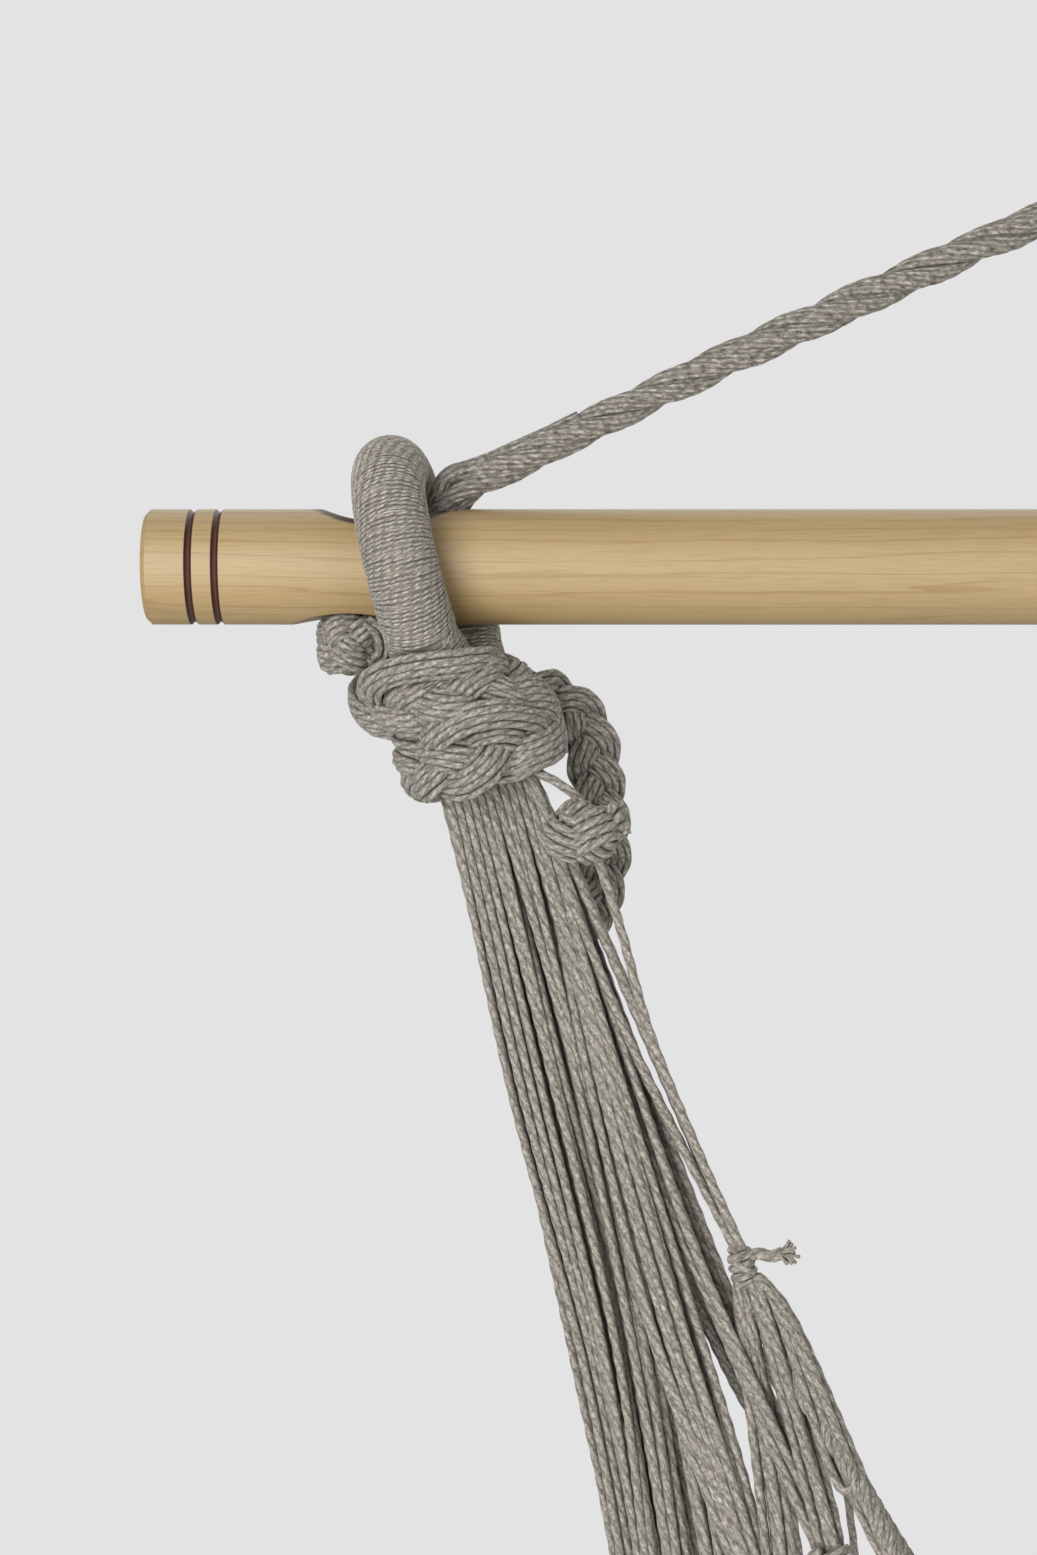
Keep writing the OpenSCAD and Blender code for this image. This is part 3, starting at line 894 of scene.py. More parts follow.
@dataclass
class Bridle:
    """The two suspension ropes, with their stopper knots, loop and seizing.

    The rope is drawn thinner than its solid and lifted a little between the bar and the crown.
    """

    finishes: Finishes
    hole_inset: float = 66.5
    hole_slope: float = 50.0
    rope_slope: float = 24.7
    rope_d: float = 14.0
    drawn_d: float = 12.2
    lift: float = 2.3
    lift_span: tuple[float, float] = (40.0, 300.0)
    bend_rise: float = 26.0
    bend_r: float = 22.0
    crown_bend_r: float = 40.0
    rope_lay: float = 69.0
    rope_slack: float = 0.035
    swell: float = 0.05
    swell_run: float = 23.0
    loose_end: tuple[Point, ...] = (
        (19, 0, 24), (22.6, 0, 33), (24.6, -1, 38.5), (27.8, -1.5, 41.8), (33, -1.5, 43.4), (40, -1, 46),
        (48, -0.5, 49.5), (58, 0, 54), (70, 1, 60))
    scoop_depth: float = 3.0
    stopper_r: float = 11.5
    stopper_h: float = 19.0
    stopper_pitch: float = 2.2
    stopper_periods: float = 5 / 3
    stopper_tuck: tuple[Point, ...] = (
        (6.5, -6, 8.5), (10.5, -5, 5), (12.3, -4, 0), (11.5, -3, -4.5), (7.5, -2, -8))
    hook_r: float = 22.0
    loop_d: float = 20.0
    loop_leg: float = 20.0
    loop_hug: float = 40.0
    loop_tucks: tuple[Point, ...] = ((0.0, -2.0, -6.0), (0.0, -2.4, -14.0))
    seizing_r: float = 25.0
    seizing_close: float = 0.98
    seizing_dip: float = 2.2
    gap: float = 0.3

    def route(self) -> Vec:
        """The left rope's middle line, from its stopper knot to the crown.

        Returns:
            The line's points.
        """
        hole, slope = math.radians(self.hole_slope), math.radians(self.rope_slope)
        bend_x = self.hole_inset - HALF_BAR + (self.bend_rise + BAR_R) / math.tan(hole)
        turn = self.hole_slope - self.rope_slope
        trim = self.bend_r * math.tan(math.radians(turn / 2))
        foot_rise = BAR_R - self.scoop_depth - self.rope_d / 2 * math.cos(hole)
        foot = vec(bend_x - (self.bend_rise + foot_rise) / math.tan(hole), 0, -foot_rise)
        low = vec(bend_x - trim * math.cos(hole), 0, self.bend_rise - trim * math.sin(hole))
        side = self.rope_d / 2 + self.gap
        crown_turn = 90 - self.rope_slope
        crown_x = -side - self.crown_bend_r * (1 - math.cos(math.radians(crown_turn)))
        crown = vec(crown_x, 0, self.bend_rise + (crown_x - bend_x) * math.tan(slope))
        lower = bend(low, self.bend_r, self.hole_slope, -turn, 8)
        upper = bend(crown, self.crown_bend_r, self.rope_slope, crown_turn, 12)
        head = upper[-1] + self.rope_d * UP
        return even_path(np.array([foot, *lower, *upper, head]), STRAND.step)

    def ropes(self) -> None:
        """Lays three strands along each rope's route, and one loose strand beside its foot."""
        spine = self.route()
        start, end = self.lift_span
        arc = np.clip((run_lengths(spine) - start) / (end - start), 0, 1)
        spine = spine + self.lift * np.sin(math.pi * arc)[:, None] * UP
        reach = self.drawn_d / 2 - STRAND.diameter / 2
        loose = reach * (1 + self.swell * np.sin(run_lengths(spine) / self.swell_run))[:, None]
        mesh = CordMesh()
        mesh.lay_strands(spine, STRAND, loose, self.rope_lay, self.rope_slack)
        mesh.cord(np.array(self.loose_end) + spine[0], STRAND)
        for half in Side:
            piece = mesh.piece("laid_rope", half, self.finishes.rope, Body.HANGER, "rope", "suspension_rope")

    def stopper_knots(self) -> None:
        """Plaits the knot that keeps each rope from pulling up through the bar."""
        plait = Plait(4.4, 1.6, *strand_section(5, self.stopper_pitch))
        share = np.linspace(0, STRANDS, 420)
        radial = spokes(-TURN * share, vec(1, 0, 0), vec(0, -1, 0))
        ring_r = self.stopper_r - plait.rise
        centre = vec(self.hole_inset - HALF_BAR, 0, -BAR_R + self.scoop_depth - self.stopper_h / 2)
        end = self.stopper_h / 2 - 2
        heart = centre + np.linspace(end, -end, 9)[:, None] * UP
        tuck = smooth_path(self.stopper_tuck, 0.8) + centre
        facing = np.tile(unit(vec(1, -0.5, 0)), (len(tuck), 1))
        mesh = CordMesh()
        plait.lay(mesh, centre + ring_r * radial, radial, TURN * self.stopper_periods * share)
        mesh.core(heart, Yarn(diameter=2 * ring_r, plies=6, sides=24, depth=0.2))
        lay_flat(mesh, tuck, facing, 4, self.stopper_pitch)
        mesh.halves("plaited_stopper", self.finishes.plait, Body.HANGER, "rope", "stopper_knot")

    def hanging_loop(self) -> None:
        """Whips the loop that the hook bears on."""
        line = arch(self.hook_r + self.loop_d / 2, self.loop_hug, self.loop_leg)
        tucks = line[0] + np.array(self.loop_tucks)
        line = smooth_path(np.vstack([tucks[::-1], line[2:-2:4], tucks * vec(1, -1, 1)]), 1.0)
        mesh = CordMesh()
        mesh.whip(line[:, [1, 0, 2]] - (self.hook_r + BAR_Z) * UP, FRONT, self.loop_d)
        mesh.piece("whipped_hanging_loop", None, self.finishes.thread, Body.HANGER, "whipping",
                   "hanging_loop_whipping", "hanging_loop_core")

    def seizing(self) -> None:
        """Winds the cord that binds the two ropes and the loop's legs."""
        bottom, top = (float(corner[2]) / MM - BAR_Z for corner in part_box("loop_seizing"))
        mesh = CordMesh()
        mesh.core(np.linspace(bottom + 1, top - 1, 12)[:, None] * UP, FILL, self.seizing_r - CORD.diameter)
        height = top - bottom - CORD.diameter
        turns = height / (CORD.diameter * self.seizing_close)
        share = np.linspace(0, 1, int(turns * 72))
        ease = np.minimum(1, np.minimum(share, 1 - share) * turns * 0.8)
        reach = self.seizing_r - CORD.diameter / 2 - self.seizing_dip * (1 - ease) ** 2
        radial = spokes(TURN * turns * share, vec(1, 0, 0), vec(0, 1, 0))
        rise = bottom + CORD.diameter / 2 + share * height
        mesh.sweep(reach[:, None] * radial + rise[:, None] * UP, radial, CORD)
        mesh.piece("wound_seizing", None, self.finishes.cord, Body.HANGER, "whipping", "loop_seizing")


@dataclass
class Throat:
    """The knot's axis and the places near it that its neighbours share, on the left half."""

    eye_inset: float = 85.5
    dx: float = 11.0
    drop: float = 30.5
    lean: float = 20.0
    upper_h: float = 26.0
    lower_h: float = 23.0
    gap: float = 0.3
    top: Vec = field(init=False)
    way: Vec = field(init=False)
    side: Vec = field(init=False)
    end: Vec = field(init=False)

    def __post_init__(self) -> None:
        """Works out the axis."""
        lean = math.radians(self.lean)
        self.top = vec(self.eye_inset - HALF_BAR + self.dx, 0, -self.drop)
        self.way = vec(math.sin(lean), 0, -math.cos(lean))
        self.side = vec(math.cos(lean), 0, math.sin(lean))
        self.end = self.top + (self.upper_h + self.gap + self.lower_h) * self.way

    def around(self, angle: Vec) -> Vec:
        """Directions square to the axis: 0 is inwards along the bar and a quarter turn is the front."""
        return spokes(angle, self.side, FRONT)


@dataclass
class WhippedEye:
    """The eye of seat cords over the bar, with its thread whipping."""

    finishes: Finishes
    throat: Throat
    eye_d: float = 24.0
    swing_gap: float = 1.25
    lean: float = 13.0
    yaw: float = 6.0
    hug: float = 40.0
    leg: float = 8.0
    shift: float = 2.5
    tuck: float = 14.0
    back_drift: float = 9.0
    back_foot: Point = (9.0, 13.0, 0.0)
    front_foot: Point = (2.5, -13.0, 0.0)

    def spine(self) -> Vec:
        """The eye's middle line, with its legs drawn on into the knot.

        Returns:
            The line's points.
        """
        line = arch(BAR_R + self.eye_d / 2 + self.swing_gap, self.hug, self.leg)
        lean, yaw = math.radians(-self.lean), math.radians(-self.yaw)
        tilt = np.array([[math.cos(lean), 0, math.sin(lean)], [0, 1, 0],
                         [-math.sin(lean), 0, math.cos(lean)]])
        turn = np.array([[math.cos(yaw), -math.sin(yaw), 0], [math.sin(yaw), math.cos(yaw), 0], [0, 0, 1]])
        placed = line @ (turn @ tilt).T + vec(self.throat.eye_inset - HALF_BAR + self.shift, 0, 0)
        low = np.clip(-placed[:, 2] / BAR_R, 0, 1) * (placed[:, 1] > 0)
        placed[:, 0] += self.back_drift * low
        inside = self.throat.top + self.tuck * self.throat.way
        return smooth_path(np.vstack([inside + self.back_foot, placed[::6], inside + self.front_foot]), 1.0)

    def build(self) -> None:
        """Makes both eyes."""
        lean = math.radians(self.lean)
        mesh = CordMesh()
        mesh.whip(self.spine(), unit(vec(math.cos(lean), 0, math.sin(lean))), self.eye_d)
        mesh.halves("whipped_eye", self.finishes.thread, Body.SEAT, "whipping", "eye_whipping", "eye_core")


@dataclass(frozen=True)
class Strand:
    """One strand of the knot where it shows, laid flat from cords side by side.

    Its route gives, from place to place, degrees from the knot's front towards the chair's middle,
    millimetres along the knot's axis and millimetres out from it. Its tilt is how far its face turns
    towards the chair's bed.
    """

    cords: int
    route: tuple[Point, ...]
    tilt: float = 0.0


@dataclass(frozen=True)
class Wrap:
    """One closed wrap of plait round the knot.

    Its way is 1 where it runs inwards across the front, or -1, and its start is where its pattern
    starts, as a share of a turn. At the knot's inner and outer side it sinks along the axis and
    stands out by the two lengths given. Its pinch is how much narrower it lies at the outer side.
    """

    radius: float
    plait: Plait
    way: int
    start: float
    inner: tuple[float, float]
    outer: tuple[float, float]
    pinch: float


UPPER_WRAP = Wrap(31.0, Plait(6.8, 2.7, *strand_section(6, 2.25, 2.6)), 1, 0.038, (8, -3), (-7.5, -1), 0.4)
LOWER_WRAP = Wrap(28.5, Plait(6.2, 2.5, *strand_section(5, 2.4, 2.4)), -1, 0.048, (-2, -2), (-3.5, -1.5), 0.1)
KNOT_STRANDS = (
    Strand(4, ((-72, 9, 25), (-60, 4.6, 29.5), (-48, 1.6, 32.2), (-34, 0.5, 33.6), (-20, 1.3, 33.8),
               (-6, 3, 33.4), (6, 4.8, 32.6), (17, 6, 31), (28, 7, 28.6), (38, 8, 25)), tilt=0.4),
    Strand(6, ((30, 20, 20), (44, 21, 25), (64, 22.5, 29), (80, 26.5, 30), (88, 31.5, 29.5), (79, 36, 29),
               (60, 38.2, 27.5), (42, 38.4, 24.5), (26, 37.5, 19))),
    Strand(4, ((-40, 27, 21), (-22, 24.5, 27.5), (0, 22.5, 29.5), (22, 23.8, 30), (42, 27, 29), (58, 30, 28),
               (66, 33.5, 26.5), (62, 37, 24))),
    Strand(5, ((-146, 1, 24), (-130, -1, 30), (-114, 1, 32), (-103, 4, 32.5), (-92, 8, 31.5), (-80, 12, 28.5),
               (-68, 16, 23))),
    Strand(3, ((-125, 19, 18), (-108, 19.5, 21.4), (-90, 20, 22), (-74, 21, 22.6), (-60, 22.5, 23.2),
               (-46, 25, 21))),
)


@dataclass
class PlaitKnot:
    """Two wraps of a flat plait round the neck of the cords, which swell between the wraps."""

    finishes: Finishes
    throat: Throat
    periods: float = 7 / 3
    lower_rise: float = 3.0
    core_r: float = 19.0
    core_span: tuple[float, float] = (3.0, 8.0)
    core_swell: float = 5.5
    swell_off: float = 3.0
    swell_len: float = 8.0

    def wrap(self, mesh: CordMesh, wrap: Wrap, along: float) -> None:
        """Lays one wrap.

        Args:
            mesh: Where its cords go.
            wrap: The wrap.
            along: Its middle, along the knot's axis.
        """
        share = np.linspace(0, STRANDS, 1500)
        angle = -wrap.way * TURN * (share + wrap.start)
        radial = self.throat.around(angle)
        near, far = (np.maximum(way_in * np.cos(angle), 0)[:, None] ** 2 for way_in in (1, -1))
        sunk, out = (near * inner + far * outer for inner, outer in zip(wrap.inner, wrap.outer))
        ring_r = wrap.radius - wrap.plait.rise
        spine = self.throat.top + (along + sunk) * self.throat.way + (ring_r + out) * radial
        wrap.plait.lay(mesh, spine, radial, TURN * self.periods * share, 1 - wrap.pinch * far)

    def strand(self, mesh: CordMesh, strand: Strand) -> None:
        """Lays one strand over the front of the knot.

        Args:
            mesh: Where its cords go.
            strand: The strand.
        """
        route = smooth_path(strand.route, 1.0)
        radial = self.throat.around(math.pi / 2 - np.radians(route[:, 0]))
        spine = self.throat.top + route[:, 1:2] * self.throat.way + route[:, 2:3] * radial
        lay_flat(mesh, spine, unit(radial + strand.tilt * self.throat.way), strand.cords)

    def build(self) -> None:
        """Makes the wraps, the strands in front and the core of both knots."""
        throat = self.throat
        start, stop = self.core_span
        along = np.linspace(start, np.linalg.norm(throat.end - throat.top) - stop, 24)
        swell = np.exp(-((along - throat.upper_h - self.swell_off) / self.swell_len) ** 2)
        mesh = CordMesh()
        self.wrap(mesh, UPPER_WRAP, throat.upper_h / 2)
        self.wrap(mesh, LOWER_WRAP, throat.upper_h + throat.gap + throat.lower_h / 2 - self.lower_rise)
        for strand in KNOT_STRANDS:
            self.strand(mesh, strand)
        mesh.core(throat.top + along[:, None] * throat.way, CORE, self.core_r + self.core_swell * swell)
        mesh.halves("plaited_knot", self.finishes.plait, Body.SEAT, "cord", "upper_wrap", "lower_wrap",
                    "throat_core")


@dataclass
class PlaitTail:
    """The plait's loose tail behind the knot, on its own body."""

    finishes: Finishes
    throat: Throat
    period: float = 38.0
    route: tuple[Point, ...] = (
        (19.5, 11.5, -12.5), (24.7, 15.8, -11.5), (30.6, 20.3, -10), (38, 27, -12.5), (46.5, 30, -18.5),
        (50.7, 31, -27), (52.4, 32, -37.5), (53.8, 33, -48), (55.4, 34, -61), (54, 35, -73), (51.5, 35, -84),
        (50.4, 35, -93))

    def build(self) -> None:
        """Plaits both tails, which narrow at their root and their cut end."""
        spine = smooth_path(self.throat.top + np.array(self.route), 1.0)
        normals = steady_normals(spine, FRONT)
        along = run_lengths(spine)
        plait = Plait(5.0, 2.5, *strand_section(4))
        width = np.clip(np.minimum(0.45 + along / 30, 0.4 + (along[-1] - along) / 12), 0, 1)[:, None]
        mesh = CordMesh()
        for strand in range(STRANDS):
            plait.lay(mesh, spine, normals, TURN * (strand / STRANDS + along / self.period), width)
        for half in Side:
            body = Body(f"tail_{half.value}")
            mesh.piece("plaited_tail", half, self.finishes.plait, body, "cord", "plait_tail")


@dataclass
class NetBed:
    """The net: a bed that sags between its ends, in millimetres."""

    finishes: Finishes
    cords: int = 24
    rows: int = 12
    half: float = 376.0
    end_drop: float = 450.0
    sag: float = 600.0
    edge_in: float = 50.0
    edge_rise: float = 164.0
    edge_sag: float = 286.0
    lift_power: float = 1.6
    sag_power: float = 1.8
    bow: float = 2.2
    bow_fall: float = 0.73
    end_w: float = 70.0
    mid_w: float = 215.0
    link: float = 2.075
    knot_turns: float = 1.6
    knot_reach: tuple[float, float] = (4.4, 3.1)
    knot_pitch: float = 3.0
    binding_turns: float = 1.7
    binding_r: float = 5.6
    selvedge_d: float = 6.0
    edge_gap: float = 2.6
    nudge: float = 0.01

    def point(self, along: float, across: float) -> Vec:
        """A point of the bed.

        Args:
            along: From -1 at the left end to 1 at the right end.
            across: From -1 at the front edge to 1 at the back edge.

        Returns:
            The point.
        """
        wide = abs(across)
        lift = wide ** self.lift_power
        bow = self.bow - self.bow_fall * wide
        reach = math.copysign(math.asinh(abs(along) * math.sinh(bow)) / bow, along)
        drop = self.sag - (self.sag - self.edge_sag) * wide ** self.sag_power
        fall = 1 - (math.cosh(bow * reach) - 1) / (math.cosh(bow) - 1)
        return vec((self.half - self.edge_in * lift) * reach,
                   across * (self.end_w + (self.mid_w - self.end_w) * (1 - along * along)),
                   -self.end_drop + self.edge_rise * lift - drop * fall)

    def row_at(self, row: int) -> float:
        """How far along the bed a row lies."""
        return -1 + row / self.rows

    def selvedge_point(self, row: int) -> Vec:
        """A point of the front selvedge's middle line, beside the net's edge.

        Args:
            row: The row of the net that it lies at.

        Returns:
            The point.
        """
        along = self.row_at(row)
        here = self.point(along, -1)
        off = self.selvedge_d / 2 + self.edge_gap - self.link
        return here + off * unit(here - self.point(along, -0.98))

    def loop_across(self, index: int) -> float:
        """How far across the bed an end loop hangs, counted from the middle."""
        return (2 * index + 1) / (self.cords / 2)

    def net_line(self, index: int) -> list[Vec]:
        """The middle line of one cord of the net, which meets its neighbours in turn.

        Args:
            index: The cord, counted from the front.

        Returns:
            The line's points.
        """
        step = 2 / self.cords
        middle = -1 + step * (index + 0.5)
        line = []
        for row in range(2 * self.rows + 1):
            along = self.row_at(row)
            way = 1 if (row + index) % 2 == 0 else -1
            meet = self.point(along, middle + way * step / 2)
            line.append(meet - self.link * unit(meet - self.point(along, middle)))
        return line

    def build(self) -> None:
        """Makes the net with its knots and the bindings of its end loops."""
        mesh = CordMesh()
        for index in range(self.cords):
            mesh.cord(self.net_line(index), NET_CORD, UP)
        for index in range(1, self.cords):
            for row in range((index + 1) % 2, 2 * self.rows + 1, 2):
                self._knot(mesh, self.row_at(row), -1 + 2 / self.cords * index)
        for end in (-1, 1):
            for index in range(self.cords // 2):
                self._binding(mesh, end, self.loop_across(index) - 1)
        mesh.piece("knotted_net", None, self.finishes.cord, Body.SEAT, "cord", "bed_net")

    def _knot(self, mesh: CordMesh, along: float, across: float) -> None:
        """Winds a small knot where two cords of the net meet.

        Args:
            mesh: Where it goes.
            along: How far along the bed it lies.
            across: How far across the bed it lies.
        """
        turn = np.linspace(0, self.knot_turns, 26)
        here = self.point(along, across)
        nudge = self.nudge if along < 0 else -self.nudge
        run = unit((self.point(along + nudge, across) - here) * math.copysign(1, nudge))
        side = unit(self.point(along, across + self.nudge) - here)
        wide, deep = self.knot_reach
        radial = spokes(TURN * turn, side * wide, np.cross(run, side) * deep)
        rise = (turn[:, None] - self.knot_turns / 2) * self.knot_pitch
        mesh.sweep(here + radial + rise * run, unit(radial), NET_CORD)

    def _binding(self, mesh: CordMesh, end: int, across: float) -> None:
        """Binds the cords that hang an end loop of the net.

        Args:
            mesh: Where it goes.
            end: -1 for the left end and 1 for the right one.
            across: How far across the bed it lies.
        """
        turn = np.linspace(-self.binding_turns, self.binding_turns, 60)
        here = self.point(end, across)
        run = unit(here - self.point(0.97 * end, across))
        side = unit(np.cross(run, FRONT))
        radial = spokes(TURN * turn, side, np.cross(run, side))
        rise = self.knot_pitch * turn[:, None] - 1.0
        mesh.sweep(here + self.binding_r * radial + rise * run, radial, NET_CORD)


@dataclass
class ArmCords:
    """The two halves of each arm: cords from the knot down to the end loops of the net.

    A side bow gives the loop that a side cord hangs from, and how far its middle lies inwards and
    towards the seat's middle. The cords of the arms themselves bow inwards at three shares of their way.
    """

    finishes: Finishes
    throat: Throat
    bed: NetBed
    loops: int = 4
    per_loop: int = 3
    rows: int = 2
    pitch: float = 2.62
    row_step: float = 5.2
    loop_pitch: float = 3.1
    loop_step: float = 3.4
    tuck: float = 9.0
    sway: float = 2.4
    back_shift: float = 2.4
    arm_shares: tuple[Point, ...] = ((0.25, 0.5, 4.2), (0.5, 0.8, 7.0), (0.76, 0.7, 6.0))
    side_along: float = 14.5
    side_sway: float = 0.6
    side_shares: tuple[tuple[float, float], ...] = ((0.3, 0.7), (0.6, 1.0), (0.82, 0.6))
    side_bows: tuple[tuple[int, float, float], ...] = (
        (4, -11.0, 5.0), (4, -8.0, 2.0), (4, -5.0, 0.0), (4, -2.0, 2.0), (4, 1.0, 4.0), (5, -9.0, 14.0),
        (5, -5.5, 18.0), (5, -2.0, 24.0))

    def build(self) -> None:
        """Makes the front and the back half of both arms."""
        for half, seed in ((Side.LEFT, 11), (Side.RIGHT, 12)):
            chance = np.random.default_rng(seed)
            for face in Face:
                mesh = CordMesh()
                for column in range(self.loops * self.per_loop):
                    for row in range(self.rows):
                        self._arm(mesh, column, row, face.value, chance)
                for place in range(len(self.side_bows)):
                    for row in range(self.rows):
                        self._side_cord(mesh, place, row, face.value, chance)
                name = face.name.lower()
                mesh.piece(f"arm_cords_{name}", half, self.finishes.cord, Body.SEAT, "cord", f"arm_{name}")

    def _arm(self, mesh: CordMesh, column: int, row: int, way: int, chance: np.random.Generator) -> None:
        """Runs one cord from inside the knot to its loop.

        Args:
            mesh: Where it goes.
            column: Its place in its row.
            row: Its row.
            way: -1 for the front half and 1 for the back half.
            chance: Where its small unevenness comes from.
        """
        throat = self.throat
        last = self.loops * self.per_loop - 1
        along = self.pitch * (column - last / 2 + (0.5 if row else 0.0) - 0.25)
        drift = self.back_shift if way > 0 else 0.0
        foot = throat.end + along * throat.side + vec(0, way * self.row_step * (row + 0.5), 0)
        loop = self.bed.point(-1, way * self.bed.loop_across(column // self.per_loop))
        spread = column % self.per_loop - (self.per_loop - 1) / 2
        head = loop + vec(self.loop_pitch * spread, way * self.loop_step * (row - 0.5), -1.0)
        sway = chance.normal(0, self.sway, (3, 3)) * vec(1, 1, 0)
        line = [foot - self.tuck * throat.way, foot + 3 * throat.way]
        for (share, amount, inwards), wobble in zip(self.arm_shares, sway):
            line.append(foot + share * (head - foot) + amount * wobble + vec(inwards + drift, 0, 0))
        mesh.cord(line + [head], CORD)

    def _side_cord(self, mesh: CordMesh, place: int, row: int, way: int, chance: np.random.Generator) -> None:
        """Runs one cord from the knot's inner side past a tie to an outer loop.

        Args:
            mesh: Where it goes.
            place: Its place in the row of such cords.
            row: Its row.
            way: -1 for the front half and 1 for the back half.
            chance: Where its small unevenness comes from.
        """
        throat = self.throat
        loop, inwards, back = self.side_bows[place]
        foot = throat.end + (self.side_along + 0.8 * (place % 2)) * throat.side
        foot = foot + vec(0, way * (1.5 + 2.6 * row + 0.8 * place), 0)
        head = self.bed.point(-1, way * self.bed.loop_across(loop))
        head = head + vec(2.4 * (place % 3 - 1), -way * 3.0, row - 1.5)
        bow = vec(inwards, -way * back, 0) + vec(1.6 * row, 1.5 * way * row, 0)
        line = [foot - self.tuck * throat.way, foot + 2 * throat.way]
        for share, amount in self.side_shares:
            line.append(foot + share * (head - foot) + amount * bow + chance.normal(0, self.side_sway, 3))
        mesh.cord(line + [head], CORD)


@dataclass(frozen=True)
class Winding:
    """Cords wound side by side round a ball, as one lobe of the round knot.

    They lie as deep below the knot's surface as its sink says, and off its middle.
    """

    sink: float
    axis: Point
    count: int
    share: float = 1.0
    start: float = 0.0
    off: Point = (0.0, 0.0, 0.0)


ROUND_KNOT = (
    Winding(2.6, (0.75, -0.35, 0.55), 6),
    Winding(1.6, (0.45, -0.2, -0.9), 4, 0.62, 0.42),
    Winding(4.6, (0.1, 1.0, 0.1), 5),
    Winding(3.4, (0.35, -0.3, 0.9), 5, start=0.5, off=(-6.3, -0.8, 0.0)),
    Winding(5.2, (0.6, -0.3, -0.6), 4, off=(-4.2, -0.5, 4.6)),
)


